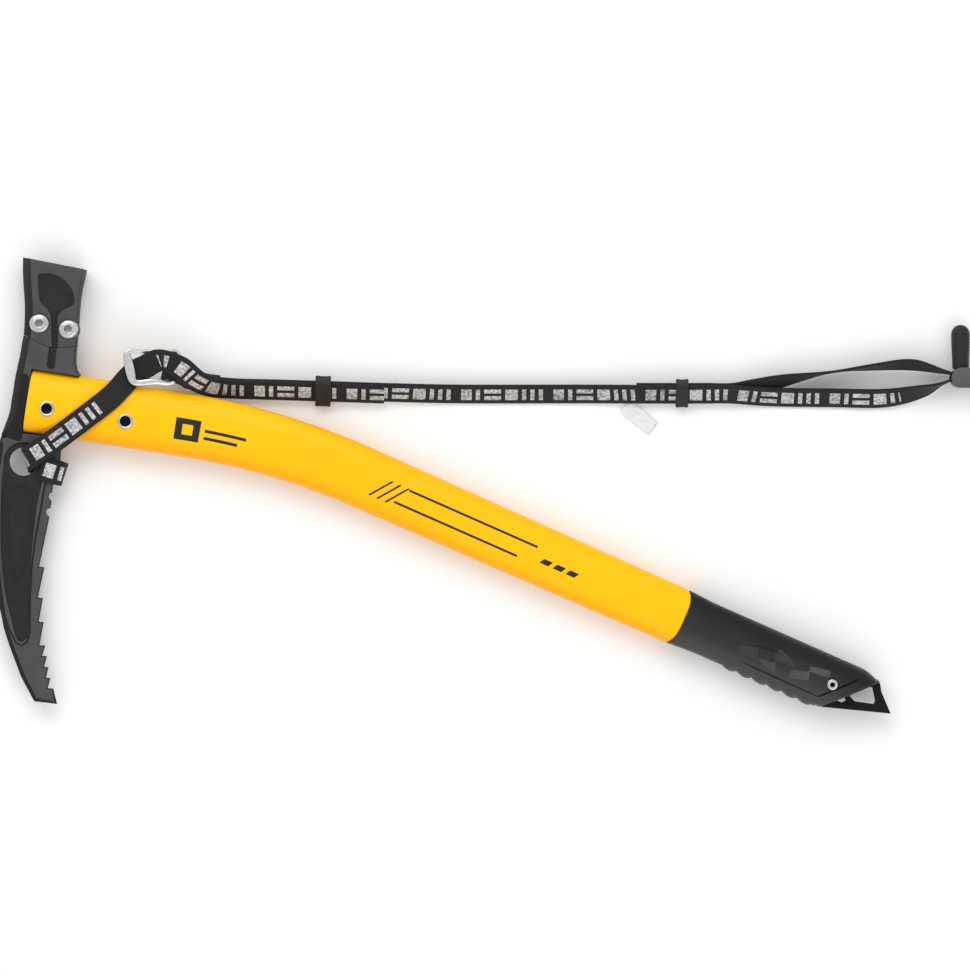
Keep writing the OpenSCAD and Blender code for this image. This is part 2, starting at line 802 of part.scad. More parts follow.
module keeper_block(w, t, l, r) {
  for (s = [-1, 1])
    for (k = [-1, 1])
      translate([-l / 2, s * (w / 2 - r), k * (t / 2 - r)])
        rotate([0, 90, 0])
          cylinder(h = l, r = r);
  translate([-l / 2, r - w / 2, -t / 2])
    cube([l, w - 2 * r, t]);
  translate([-l / 2, -w / 2, r - t / 2])
    cube([l, w, t - 2 * r]);
}

module keeper_buckle() {
  d = run_b - run_a;
  keeper(keeper_pos, atan2(d[1], d[0]), keeper_l, 2);
}

module keeper_wrist() {
  keeper(wrist_keeper_pos, 0, wrist_keeper_l, 1.4);
}

module label() {
  color("#ececea")
    web([
      [[96.4, 41.6, 1.6], [0.62, 0.78, 0]],
      [[101.6, 37.6, 1.1], [0.62, 0.78, 0]],
      [[111, 30.2, 0.5], [0.62, 0.78, 0]]
    ], 8, 0.6, 2);
}

module toggle_shape(grow) {
  body_l = 13;
  half_w = 5.2 + grow;
  cylinder(h = 14.8 + 2 * grow, r = half_w, center = true);
  translate([0, -half_w, -7.4 - grow])
    cube([body_l, 2 * half_w, 14.8 + 2 * grow]);
}

module toggle_body() {
  color("#6d6e70")
    translate(toggle_pos)
      difference() {
        toggle_shape(0);
        translate([-12, -2.2, -6.6])
          cube([13, 5.6, 13.2]);
        translate([-0.4, -3.4, -10])
          cube([4.5, 6.6, 20]);
      }
}

module toggle_finger() {
  reach = 22.8;
  color("#1a1a1b")
    translate(toggle_pos)
      difference() {
        union() {
          translate([0, 3, 0])
            rotate([-90, 0, 0])
              cylinder(h = reach - 3, d1 = finger_d - 1.4, d2 = finger_d);
          translate([0, reach, 0])
            sphere(d = finger_d);
        }
        toggle_shape(eps);
      }
}

head();
hammer();
hammer_bolt(0);  // hammer_bolt_a
hammer_bolt(1);  // hammer_bolt_b
hammer_nut(0);  // hammer_nut_a
hammer_nut(1);  // hammer_nut_b
shaft_tube();
shaft_plug();
head_rivet(0);  // head_rivet_a
head_rivet(1);  // head_rivet_b
grip();
spike_plug();
spike();
spike_rivet();
head_strap();
wrist_strap();
buckle();
keeper_buckle();
keeper_wrist();
label();
toggle_body();
toggle_finger();
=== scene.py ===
import math

import bmesh
import bpy
import numpy as np
from mathutils import Matrix, Vector


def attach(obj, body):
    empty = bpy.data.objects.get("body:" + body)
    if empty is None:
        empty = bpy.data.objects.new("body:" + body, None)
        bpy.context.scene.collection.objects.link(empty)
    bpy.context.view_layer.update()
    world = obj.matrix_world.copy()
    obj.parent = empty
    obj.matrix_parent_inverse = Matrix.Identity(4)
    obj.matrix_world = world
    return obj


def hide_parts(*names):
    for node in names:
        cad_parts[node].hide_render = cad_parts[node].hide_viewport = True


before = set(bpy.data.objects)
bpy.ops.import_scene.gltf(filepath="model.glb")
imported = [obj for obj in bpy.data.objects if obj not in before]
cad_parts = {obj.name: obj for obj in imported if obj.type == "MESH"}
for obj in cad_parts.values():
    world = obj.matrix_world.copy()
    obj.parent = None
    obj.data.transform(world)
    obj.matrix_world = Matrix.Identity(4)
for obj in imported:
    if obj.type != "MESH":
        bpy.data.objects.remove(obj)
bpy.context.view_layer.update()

MM = 0.001
MID_Z = 12.0
EYE = (-218.5, 12.5)
BEND = (-85.7, 23.9)
SLOPE_A = math.radians(9.1)
SLOPE_B = math.radians(23.8)
BEND_R = 380.0
BEND_LEN = BEND_R * math.tan((SLOPE_B - SLOPE_A) / 2)
TUBE_START = -131.8
# Distances of the two head rivets from the bend, and their place across the shaft.
RIVETS = (-121, -79.5)
RIVET_V = -3
GRIP_START = 232.0
GRIP_LEAD = 3.5
END_U = 325.7
END_ANGLE = math.radians(46)
POWER = 2.6
NECK_HALF = 8.0
CORE_HALF = 3.5
BLADE_HALF = 2.4


# ---- camera and stage

def make_camera():
    data = bpy.data.cameras.new("camera")
    data.lens = 200
    data.sensor_width = 36
    data.clip_start = 0.01
    cam = bpy.data.objects.new("camera", data)
    bpy.context.scene.collection.objects.link(cam)
    cam.location = (0.0228, 0.0, 2.833)
    bpy.context.scene.camera = cam


def area_light(name, at, look, size, power):
    data = bpy.data.lights.new(name, "AREA")
    data.shape = "RECTANGLE"
    data.size, data.size_y = size
    data.energy = power
    lamp = bpy.data.objects.new(name, data)
    bpy.context.scene.collection.objects.link(lamp)
    lamp.location = at
    lamp.rotation_euler = (Vector(look) - Vector(at)).to_track_quat("-Z", "Y").to_euler()


# ---- materials

def material(name, colour, rough=0.5, metal=0.0, coat=0.0, spec=0.5):
    m = bpy.data.materials.new(name)
    m.use_nodes = True
    b = m.node_tree.nodes["Principled BSDF"]
    values = {
        "Base Color": (*colour, 1), "Roughness": rough, "Metallic": metal, "Coat Weight": coat,
        "Coat Roughness": 0.12, "Specular IOR Level": spec,
    }
    for key, value in values.items():
        b.inputs[key].default_value = value
    return m, m.node_tree, b


def node(tree, kind, **values):
    """Adds a shader node, and sets its properties or, with _ for a space, its inputs."""
    n = tree.nodes.new(kind)
    for k, v in values.items():
        if hasattr(n, k):
            setattr(n, k, v)
        else:
            n.inputs[k.replace("_", " ")].default_value = v
    return n


def noise(tree, scale, detail=3.0, rough=0.5, coords=None):
    n = node(tree, "ShaderNodeTexNoise", Scale=scale, Detail=detail, Roughness=rough)
    if coords is None:
        coords = node(tree, "ShaderNodeTexCoord").outputs["Object"]
    tree.links.new(coords, n.inputs["Vector"])
    return n.outputs["Fac"]


def ramp(tree, source, stops):
    r = node(tree, "ShaderNodeValToRGB")
    r.color_ramp.elements[0].position = stops[0][0]
    r.color_ramp.elements[0].color = stops[0][1]
    r.color_ramp.elements[1].position = stops[-1][0]
    r.color_ramp.elements[1].color = stops[-1][1]
    for p, c in stops[1:-1]:
        e = r.color_ramp.elements.new(p)
        e.color = c
    tree.links.new(source, r.inputs["Fac"])
    return r.outputs["Color"]


def grey(v):
    return (v, v, v, 1)


def spread(tree, source, low, high):
    """Spreads a noise's usual range over low to high."""
    m = node(tree, "ShaderNodeMapRange", From_Min=0.3, From_Max=0.7, To_Min=low, To_Max=high)
    tree.links.new(source, m.inputs["Value"])
    return m.outputs["Result"]


def bump(tree, shader, height, strength, distance):
    b = node(tree, "ShaderNodeBump", Strength=strength, Distance=distance)
    tree.links.new(height, b.inputs["Height"])
    tree.links.new(b.outputs["Normal"], shader.inputs["Normal"])


def maths(tree, op, a, b=None):
    m = node(tree, "ShaderNodeMath", operation=op)
    for i, x in enumerate((a, b)):
        if x is None:
            continue
        if isinstance(x, (int, float)):
            m.inputs[i].default_value = x
        else:
            tree.links.new(x, m.inputs[i])
    return m.outputs[0]


def mixed(tree, factor, a, b):
    m = node(tree, "ShaderNodeMix", data_type="RGBA")
    for key, x in ((0, factor), (6, a), (7, b)):
        if isinstance(x, (int, float, tuple)):
            m.inputs[key].default_value = x
        else:
            tree.links.new(x, m.inputs[key])
    return m.outputs[2]


def facing(tree, low, high):
    """How far the surface faces +Y: 0 at the normal's low value and 1 at its high value."""
    parts = node(tree, "ShaderNodeSeparateXYZ")
    tree.links.new(node(tree, "ShaderNodeNewGeometry").outputs["Normal"], parts.inputs["Vector"])
    m = node(
        tree, "ShaderNodeMapRange", interpolation_type="SMOOTHSTEP",
        From_Min=low, From_Max=high, To_Min=0, To_Max=1,
    )
    tree.links.new(parts.outputs["Y"], m.inputs["Value"])
    return m.outputs["Result"]


def paint_material():
    m, t, b = material("shaft_paint", (1.0, 0.56, 0.0), 0.42, coat=0.04, spec=0.15)
    tone = ramp(t, noise(t, 9, 2), [(0.3, (1.0, 0.49, 0.0, 1)), (0.7, (1.0, 0.52, 0.0, 1))])
    # Faces turned towards -Y get an orange copy of the yellow: painted shade on the shaft's lower side.
    t.links.new(mixed(t, facing(t, -0.85, 0.0), (1.0, 0.42, 0.0, 1), tone), b.inputs["Base Color"])
    t.links.new(spread(t, noise(t, 60, 4), 0.3, 0.42), b.inputs["Roughness"])
    bump(t, b, noise(t, 900, 2), 0.12, 0.0003)
    return m


def forged_material(name, tone, rough=0.5, spec=0.4):
    m, t, b = material(name, (tone, tone, tone * 1.04), rough, spec=spec)
    patch = noise(t, 70, 5, 0.6)
    low, high = tone * 0.85, tone * 1.15
    shades = [(0.3, (low, low, low * 1.04, 1)), (0.7, (high, high, high * 1.05, 1))]
    t.links.new(ramp(t, patch, shades), b.inputs["Base Color"])
    t.links.new(spread(t, noise(t, 240, 3), rough - 0.06, rough + 0.08), b.inputs["Roughness"])
    bump(t, b, noise(t, 1400, 3, 0.6), 0.25, 0.0003)
    return m


def steel_material(name, tone, rough, scratch=1):
    m, t, b = material(name, (tone, tone, tone * 1.01), rough, 1.0)
    coords = node(t, "ShaderNodeTexCoord")
    stretch = node(t, "ShaderNodeMapping")
    stretch.inputs["Scale"].default_value = (1, 8, 1)
    t.links.new(coords.outputs["Object"], stretch.inputs["Vector"])
    fine = noise(t, 900, 3, 0.6, stretch.outputs["Vector"])
    t.links.new(spread(t, fine, rough - 0.06, rough + 0.12), b.inputs["Roughness"])
    shades = [(0.3, grey(tone * 0.86)), (0.7, grey(min(1, tone * 1.06)))]
    t.links.new(ramp(t, noise(t, 300, 3), shades), b.inputs["Base Color"])
    bump(t, b, fine, 0.12 * scratch, 0.0002)
    return m


def rubber_material(name, tone, rough, grain=1200, depth=0.3, painted_light=1.0, spec=0.3):
    m, t, b = material(name, (tone, tone, tone * 1.03), rough, spec=spec)
    colour = ramp(t, noise(t, 45, 4), [(0.3, grey(tone * 0.85)), (0.7, grey(tone * 1.2))])
    # Faces turned towards -Y get a copy of the colour made this many times brighter: painted light on the
    # lower side.
    if painted_light > 1:
        colour = mixed(t, facing(t, -0.55, 0.35), grey(tone * painted_light), colour)
    t.links.new(colour, b.inputs["Base Color"])
    t.links.new(spread(t, noise(t, 400, 3), rough - 0.06, rough + 0.08), b.inputs["Roughness"])
    bump(t, b, noise(t, grain, 3, 0.6), depth, 0.0003)
    return m


RIB_STEP = 1.1
WOVEN_REPEAT = 44.0
# Each woven block: first and last rib along, first and last row across.
WOVEN = (
    (2, 6, -4, 3), (9, 10, -4, 3), (13, 20, -4, -2), (13, 20, 1, 3), (23, 28, -4, 3),
    (31, 32, -4, 3), (35, 36, -4, 3), (39, 40, -4, 3),
)


def webbing_material(name):
    """Black webbing with cross ribs. UV x is the distance along it and y across it, in millimetres."""
    m, t, b = material(name, (0.012, 0.012, 0.013), 0.62, spec=0.15)
    b.inputs["Sheen Weight"].default_value = 0.06
    b.inputs["Sheen Roughness"].default_value = 0.5
    uv = node(t, "ShaderNodeUVMap", uv_map="weave")
    parts = node(t, "ShaderNodeSeparateXYZ")
    t.links.new(uv.outputs["UV"], parts.inputs["Vector"])
    s, v = parts.outputs["X"], parts.outputs["Y"]

    def wave(x, length):
        turned = maths(t, "SINE", maths(t, "MULTIPLY", x, 2 * math.pi / length))
        return maths(t, "ADD", maths(t, "MULTIPLY", turned, 0.5), 0.5)

    rib = wave(s, RIB_STEP)
    thread = wave(v, 0.62)
    height = maths(t, "ADD", maths(t, "MULTIPLY", rib, 0.75), maths(t, "MULTIPLY", thread, 0.25))
    black = mixed(t, rib, (0.006, 0.006, 0.007, 1), (0.028, 0.028, 0.03, 1))
    cell_s = maths(t, "FLOOR", maths(t, "DIVIDE", s, RIB_STEP))
    cell_v = maths(t, "FLOOR", maths(t, "DIVIDE", v, 0.9))
    along = maths(t, "MODULO", cell_s, WOVEN_REPEAT)

    def between(x, lo, hi):
        above = maths(t, "GREATER_THAN", x, lo - 0.5)
        return maths(t, "MULTIPLY", above, maths(t, "LESS_THAN", x, hi + 0.5))

    mark = None
    for lo, hi, foot, head_row in WOVEN:
        block = maths(t, "MULTIPLY", between(along, lo, hi), between(cell_v, foot, head_row))
        mark = block if mark is None else maths(t, "MAXIMUM", mark, block)
    side = node(t, "ShaderNodeAttribute", attribute_name="face_side")
    mark = maths(t, "MULTIPLY", mark, side.outputs["Fac"])
    cell = node(t, "ShaderNodeCombineXYZ")
    t.links.new(cell_s, cell.inputs["X"])
    t.links.new(cell_v, cell.inputs["Y"])
    random = node(t, "ShaderNodeTexWhiteNoise", noise_dimensions="2D")
    t.links.new(cell.outputs["Vector"], random.inputs["Vector"])
    speckle = maths(t, "MULTIPLY", random.outputs["Value"], 0.5)
    wear = maths(t, "ADD", speckle, maths(t, "MULTIPLY", noise(t, 45, 2), 0.6))
    pale = ramp(t, wear, [(0.25, grey(0.25)), (0.55, grey(0.55)), (0.85, grey(0.85))])
    threads = mixed(t, thread, grey(0.55), grey(1.0))
    tint = node(t, "ShaderNodeMix", data_type="RGBA", blend_type="MULTIPLY")
    tint.inputs[0].default_value = 0.7
    t.links.new(pale, tint.inputs[6])
    t.links.new(threads, tint.inputs[7])
    t.links.new(mixed(t, mark, black, tint.outputs[2]), b.inputs["Base Color"])
    bump(t, b, height, 0.7, 0.00035)
    return m


def cloth_material():
    m, t, b = material("label_cloth", (0.78, 0.78, 0.76), 0.75, spec=0.2)
    coords = node(t, "ShaderNodeTexCoord").outputs["Object"]
    weave = node(t, "ShaderNodeTexWave", wave_type="BANDS")
    weave.inputs["Scale"].default_value = 700
    weave.inputs["Distortion"].default_value = 1.5
    t.links.new(coords, weave.inputs["Vector"])
    t.links.new(ramp(t, noise(t, 500, 3), [(0.3, grey(0.74)), (0.7, grey(0.86))]), b.inputs["Base Color"])
    bump(t, b, weave.outputs["Fac"], 0.5, 0.0002)
    return m


# ---- mesh helpers

def new_piece(name, verts, faces, mats):
    me = bpy.data.meshes.new(name)
    me.from_pydata([tuple(c * MM for c in p) for p in verts], [], faces)
    me.validate()
    ob = bpy.data.objects.new(name, me)
    bpy.context.scene.collection.objects.link(ob)
    for m in mats if isinstance(mats, (list, tuple)) else [mats]:
        me.materials.append(m)
    return ob


def bake(ob):
    """Replaces the object's mesh by the result of its modifiers."""
    dg = bpy.context.evaluated_depsgraph_get()
    made = bpy.data.meshes.new_from_object(ob.evaluated_get(dg))
    ob.modifiers.clear()
    old = ob.data
    ob.data = made
    bpy.data.meshes.remove(old)
    made.name = ob.name
    return ob


def boolean(ob, other, operation="DIFFERENCE", carry=False):
    """Cuts off or joins another piece, which carries its own materials over if carry is true."""
    mod = ob.modifiers.new("cut", "BOOLEAN")
    mod.operation = operation
    mod.solver = "EXACT"
    if carry:
        mod.material_mode = "TRANSFER"
    mod.object = other
    bake(ob)
    bpy.data.objects.remove(other)
    return ob


def shade(ob, angle=35):
    """Smooth faces, with edges kept sharp where they turn by more than angle."""
    bm = bmesh.new()
    bm.from_mesh(ob.data)
    bmesh.ops.recalc_face_normals(bm, faces=bm.faces)
    limit = math.radians(angle)
    for f in bm.faces:
        f.smooth = True
    for e in bm.edges:
        e.smooth = len(e.link_faces) == 2 and e.calc_face_angle(0) < limit
    bm.to_mesh(ob.data)
    bm.free()
    return ob


WELD = 0.00002


def tidy(ob):
    """Joins points that lie on each other and drops faces with no area."""
    bm = bmesh.new()
    bm.from_mesh(ob.data)
    bmesh.ops.remove_doubles(bm, verts=bm.verts, dist=WELD)
    bmesh.ops.dissolve_degenerate(bm, edges=bm.edges, dist=WELD)
    bm.to_mesh(ob.data)
    bm.free()
    return ob


def round_edges(ob, width, segments=2, angle=30):
    mod = ob.modifiers.new("bevel", "BEVEL")
    mod.width = width * MM
    mod.segments = segments
    mod.limit_method = "ANGLE"
    mod.angle_limit = math.radians(angle)
    mod.use_clamp_overlap = True
    mod.harden_normals = False
    bake(ob)
    return ob


def finish_piece(ob, body, nodes=()):
    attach(ob, body)
    if nodes:
        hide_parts(*nodes)
    return ob


def skin_faces(count, n):
    """Faces of a closed skin over count rings of n points each."""
    faces = [
        [i * n + k, i * n + (k + 1) % n, (i + 1) * n + (k + 1) % n, (i + 1) * n + k]
        for i in range(count - 1) for k in range(n)
    ]
    faces.append([k for k in range(n)][::-1])
    faces.append([(count - 1) * n + k for k in range(n)])
    return faces


def hoop_faces(count, n):
    """Faces of a skin over rings that close up into a hoop."""
    return [
        [i * n + k, i * n + (k + 1) % n, (i + 1) % count * n + (k + 1) % n, (i + 1) % count * n + k]
        for i in range(count) for k in range(n)
    ]


def loft(name, rings, mats):
    n = len(rings[0])
    verts = [p for r in rings for p in r]
    ob = new_piece(name, verts, skin_faces(len(rings), n), mats)
    shade(ob)
    return ob


def catmull(a, b, c, d, t):
    square = (2 * a - 5 * b + 4 * c - d) * t * t
    return (2 * b + (c - a) * t + square + (3 * b - a - 3 * c + d) * t ** 3) / 2


def spline(points, steps):
    """A smooth open curve through points of any dimension."""
    p = np.array(points, float)
    last = len(p) - 1
    out = []
    for i in range(last):
        for k in range(steps):
            out.append(catmull(p[max(0, i - 1)], p[i], p[i + 1], p[min(last, i + 2)], k / steps))
    out.append(p[last])
    return [list(q) for q in out]


def inset(outline):
    """Each corner moved inwards by its own bevel width, the third number."""
    p = [np.array(q[:2], float) for q in outline]
    out = []
    for i, q in enumerate(outline):
        a = p[i] - p[i - 1]
        b = p[(i + 1) % len(p)] - p[i]
        a, b = a / np.linalg.norm(a), b / np.linalg.norm(b)
        na, nb = np.array([-a[1], a[0]]), np.array([-b[1], b[0]])
        out.append(p[i] + (na + nb) * q[2] / max(0.35, 1 + na @ nb))
    return out


def forging(name, outline, rim, top, mats, rise=0.0, y0=0.0):
    """Upright edge of height rim, then bevels up to faces whose half thickness is top + rise * (y - y0)."""
    n = len(outline)
    inner = inset(outline)
    high = [top + rise * (q[1] - y0) for q in inner]
    rings = [
        [(inner[i][0], inner[i][1], -high[i]) for i in range(n)],
        [(outline[i][0], outline[i][1], -rim) for i in range(n)],
        [(outline[i][0], outline[i][1], rim) for i in range(n)],
        [(inner[i][0], inner[i][1], high[i]) for i in range(n)],
    ]
    verts = [(x + EYE[0], y + EYE[1], z + MID_Z) for r in rings for x, y, z in r]
    return new_piece(name, verts, skin_faces(4, n), mats)


def prism(name, outline, z0, z1, mats, origin=EYE, mid=MID_Z):
    n = len(outline)
    rings = [[(p[0], p[1], z) for p in outline] for z in (z0, z1)]
    verts = [(x + origin[0], y + origin[1], z + mid) for r in rings for x, y, z in r]
    return new_piece(name, verts, skin_faces(2, n), mats)


def circle(r, sides, turn=0.0):
    angles = [2 * math.pi * k / sides + turn for k in range(sides)]
    return [(r * math.cos(q), r * math.sin(q)) for q in angles]


def cylinder(name, at, r, z0, z1, sides, mats):
    return prism(name, circle(r, sides), z0, z1, mats, at, 0)


def slot_outline(a, b, w):
    steps = 10
    t = math.atan2(b[1] - a[1], b[0] - a[0])
    out = []
    for c, base in ((b, -90), (a, 90)):
        for k in range(steps + 1):
            q = t + math.radians(base + 180 * k / steps)
            out.append((c[0] + w / 2 * math.cos(q), c[1] + w / 2 * math.sin(q)))
    return out


# ---- shaft frame

def on_line(u, v, slope):
    """Point at u along and v across a straight line through the shaft's bend."""
    c, s = math.cos(slope), math.sin(slope)
    return BEND[0] + u * c + v * s, BEND[1] - u * s + v * c


def tube_point(u):
    if u < -BEND_LEN:
        return head_frame(u, 0)
    if u > BEND_LEN:
        return spike_frame(u, 0)
    t = tube_slope(u)
    return (
        BEND[0] - BEND_LEN * math.cos(SLOPE_A) + BEND_R * (math.sin(t) - math.sin(SLOPE_A)),
        BEND[1] + BEND_LEN * math.sin(SLOPE_A) + BEND_R * (math.cos(t) - math.cos(SLOPE_A)),
    )


def tube_slope(u):
    share = min(1.0, max(0.0, (u + BEND_LEN) / (2 * BEND_LEN)))
    return SLOPE_A + (SLOPE_B - SLOPE_A) * share


def shaft_share(u):
    return min(1.0, max(0.0, (u + BEND_LEN) / (GRIP_START + BEND_LEN)))


def half_depth(u):
    return 16.7 - 1.7 * shaft_share(u)


def half_t(u):
    return 10.0 - 0.6 * shaft_share(u)


def in_shaft(u, v, z, ahead=0.0):
    """World point at u along the shaft and v across it, z above the middle, slid ahead along it."""
    x, y = tube_point(u)
    s = tube_slope(u)
    return x + v * math.sin(s) + ahead * math.cos(s), y + v * math.cos(s) - ahead * math.sin(s), MID_Z + z


def spike_frame(u, v):
    return on_line(u, v, SLOPE_B)


def head_frame(u, v):
    return on_line(u, v, SLOPE_A)


def section(k, n, a, b):
    t = 2 * math.pi * k / n
    c, s = math.cos(t), math.sin(t)
    return a * math.copysign(abs(c) ** (2 / POWER), c), b * math.copysign(abs(s) ** (2 / POWER), s)


def tube_ring(u, a, b, n, skew=0.0, shape=None):
    ring = []
    for k in range(n):
        v, z = section(k, n, a, b)
        back = skew * (abs(v) / 15) ** 4
        if shape:
            v, z = shape(u, v, z)
        ring.append(in_shaft(u, v, z, -back))
    return ring


# ---- leash routes, in millimetres

RUN_A, RUN_B = np.array([-112, 51, 7.9]), np.array([-26, 48.2, 7.9])
FLAT = np.array([0, 0.75, 0.66])
LIFT = np.array([0, -0.66, 0.75])
WEB_W, WEB_T = 12.4, 1.4
HALF_UP = LIFT * (WEB_T + 0.15) / 2
RUN_STOPS = [RUN_A + (RUN_B - RUN_A) * k / 3 for k in range(4)]
WRIST_STOPS = [np.array([102 + 12.5 * k, 48.3, 7.3]) for k in range(5)]
DIAGONAL = (-0.6, 0.8, 0)
HEAD_ROUTE = [
    ((-209.3, 9.2, 16.5), (0.3, 0.95, 0)),
    ((-204, 7.6, 16.5), (0.3, 0.95, 0)),
    ((-199.4, 6.2, 15.6), (0.3, 0.95, 0)),
    ((-197.4, 5.8, 12), (0.3, 0.95, 0)),
    ((-199.4, 6.4, 7.6), (0.3, 0.95, 0)),
    ((-206, 9, 6.7), (0, 1, 0)),
    ((-213, 12.3, 6.8), (0.1, 0.99, 0)),
    ((-216.2, 13, 9.6), (-0.12, 0.99, 0)),
    ((-216.5, 13.6, 14), (-0.4, 0.9, 0)),
    ((-213.4, 15.8, 18.4), DIAGONAL),
    ((-204.5, 21.4, 21.2), DIAGONAL),
    ((-190, 32, 23), DIAGONAL),
    ((-174, 44.4, 22.9), (-0.6, 0.8, -0.05)),
    ((-167.8, 50.6, 21.1), (-0.55, 0.8, -0.25)),
    ((-162.6, 56.6, 18.7), (-0.4, 0.85, -0.02)),
    ((-158.2, 60.2, 18.6), (-0.25, 0.9, 0.05)),
    ((-153.8, 62.1, 20.8), (-0.1, 0.85, 0.25)),
    ((-149.6, 64.4, 24.2), (0, 0.8, 0.45)),
    ((-144.2, 65.2, 27), (0, 0.8, 0.5)),
    ((-136.2, 61.6, 26.2), (0, 0.85, 0.42)),
    ((-128.6, 55.2, 18.2), FLAT),
    ((-121, 51.8, 11.8), FLAT),
    *[(p + HALF_UP, FLAT) for p in RUN_STOPS[:3]],
    (RUN_B + HALF_UP + np.array([-4, 0.1, 0]), FLAT),
]
WRIST_ROUTE = [
    ((-117, 52.9, 5.8), FLAT),
    ((-127, 54.8, 7.8), FLAT),
    ((-137.6, 59.6, 13), (0.2, 0.93, 0.1)),
    ((-142.4, 61.2, 14.2), (0.24, 0.96, 0)),
    ((-144.6, 61.4, 17.1), (0.24, 0.96, 0)),
    ((-142.2, 61.2, 20.7), (0.24, 0.96, 0)),
    ((-136, 59.8, 20.4), (0.2, 0.95, 0)),
    ((-128, 54.6, 11.8), FLAT),
    *[(p - HALF_UP, FLAT) for p in RUN_STOPS],
    ((10, 48, 5), FLAT),
    ((75, 48, 5), FLAT),
    *[(p + HALF_UP, FLAT) for p in WRIST_STOPS],
    ((174, 46.4, 5), FLAT),
    ((204, 46, 5), FLAT),
    ((232, 45.8, 5.4), FLAT),
    ((252, 49.4, 7.4), (0.1, 0.5, 0.85)),
    ((262, 53.2, 8.2), (0, 0.1, 0.99)),
    ((267.5, 55.4, 8.2), (0, 0, 1)),
    ((271.2, 55.5, 8.2), (0, 0, 1)),
    ((273.1, 57, 8.2), (0, 0, 1)),
    ((271.2, 58.5, 8.2), (0, 0, 1)),
    ((267.5, 58.6, 8.2), (0, 0, 1)),
    ((262, 59.8, 8.2), (0, 0.1, 0.99)),
    ((246, 63.2, 7.8), (0, 0.4, 0.92)),
    ((226, 62, 7.2), (0, 0.2, 0.98)),
    ((204, 59.4, 7), (0, 0, 1)),
    ((178, 54.6, 7.2), (0, 0.5, 0.85)),
    ((164, 51, 6.6), FLAT),
    *[(p - HALF_UP, FLAT) for p in WRIST_STOPS[::-1]],
]


def strap(name, route, width, thick, mats, plain=(), step=1.6):
    """A webbing ribbon with UVs in millimetres. Returns it with its centre line and length in metres."""
    flat = [list(p) + list(a) for p, a in route]
    fine = np.array(spline(flat, 24))
    gaps = np.linalg.norm(np.diff(fine[:, :3], axis=0), axis=1)
    dist = np.concatenate([[0], np.cumsum(gaps)])
    count = int(dist[-1] / step) + 1
    at = np.linspace(0, dist[-1], count)
    pts = np.stack([np.interp(at, dist, fine[:, k]) for k in range(6)], axis=1)
    centre = pts[:, :3]
    along = np.gradient(centre, axis=0)
    along /= np.linalg.norm(along, axis=1)[:, None]
    across = pts[:, 3:]
    across = across - (across * along).sum(1)[:, None] * along
    across /= np.linalg.norm(across, axis=1)[:, None]
    normal = np.cross(along, across)
    cols = [1, 0.96, 0.8, 0.6, 0.4, 0.2, 0, -0.2, -0.4, -0.6, -0.8, -0.96, -1]
    lens = [0.42, 0.86, 1, 0.97, 0.97, 0.97, 0.97, 0.97, 0.97, 0.97, 1, 0.86, 0.42]
    profile = [(c * width / 2, h * thick / 2) for c, h in zip(cols, lens)]
    profile += [(c, -h) for c, h in profile[::-1]]
    n = len(profile)
    rings = [
        [tuple(centre[i] + across[i] * a + normal[i] * h) for a, h in profile]
        for i in range(count)
    ]
    ob = new_piece(name, [p for r in rings for p in r], skin_faces(count, n), mats)
    uv = ob.data.uv_layers.new(name="weave")
    side = ob.data.attributes.new("face_side", "FLOAT", "FACE")
    sides = []
    for f in ob.data.polygons:
        for li in f.loop_indices:
            vi = ob.data.loops[li].vertex_index
            uv.data[li].uv = (at[vi // n], profile[vi % n][0])
        ks = [ob.data.loops[li].vertex_index % n for li in f.loop_indices]
        where = at[min(ob.data.loops[li].vertex_index for li in f.loop_indices) // n]
        top = all(k < len(cols) for k in ks)
        sides.append(1.0 if top and not any(a < where < b for a, b in plain) else 0.0)
    side.data.foreach_set("value", sides)
    shade(ob, 50)
    return ob, [tuple(c * MM) for c in centre], dist[-1] * MM


# ---- build

make_camera()
STAGE_MAT = material("floor", (0.93, 0.93, 0.93), 0.9, spec=0.1)[0]
FLOOR_HALF = 3000
FLOOR_Z = -0.2
floor_corners = [(x * FLOOR_HALF, y * FLOOR_HALF, FLOOR_Z) for x, y in ((-1, -1), (1, -1), (1, 1), (-1, 1))]
floor = new_piece("floor", floor_corners, [[0, 1, 2, 3]], STAGE_MAT)

WEB_PRINT = webbing_material("webbing_printed")
# Stretches of each strap with no woven blocks, in millimetres from its start.
HEAD_PLAIN = [(92, 136)]
WRIST_PLAIN = [(0, 60), (425, 900)]
KEEPER_RUBBER = rubber_material("keeper_rubber", 0.016, 0.55)

head_strap, head_line, head_len = strap("leash_head_strap", HEAD_ROUTE, WEB_W, WEB_T, WEB_PRINT, HEAD_PLAIN)
finish_piece(head_strap, "axe", ["head_strap"])
wrist_strap, wrist_line, wrist_len = strap(
    "leash_wrist_strap", WRIST_ROUTE, WEB_W, WEB_T, WEB_PRINT, WRIST_PLAIN,
)
finish_piece(wrist_strap, "axe", ["wrist_strap"])

# ---- shaft

PAINT = paint_material()


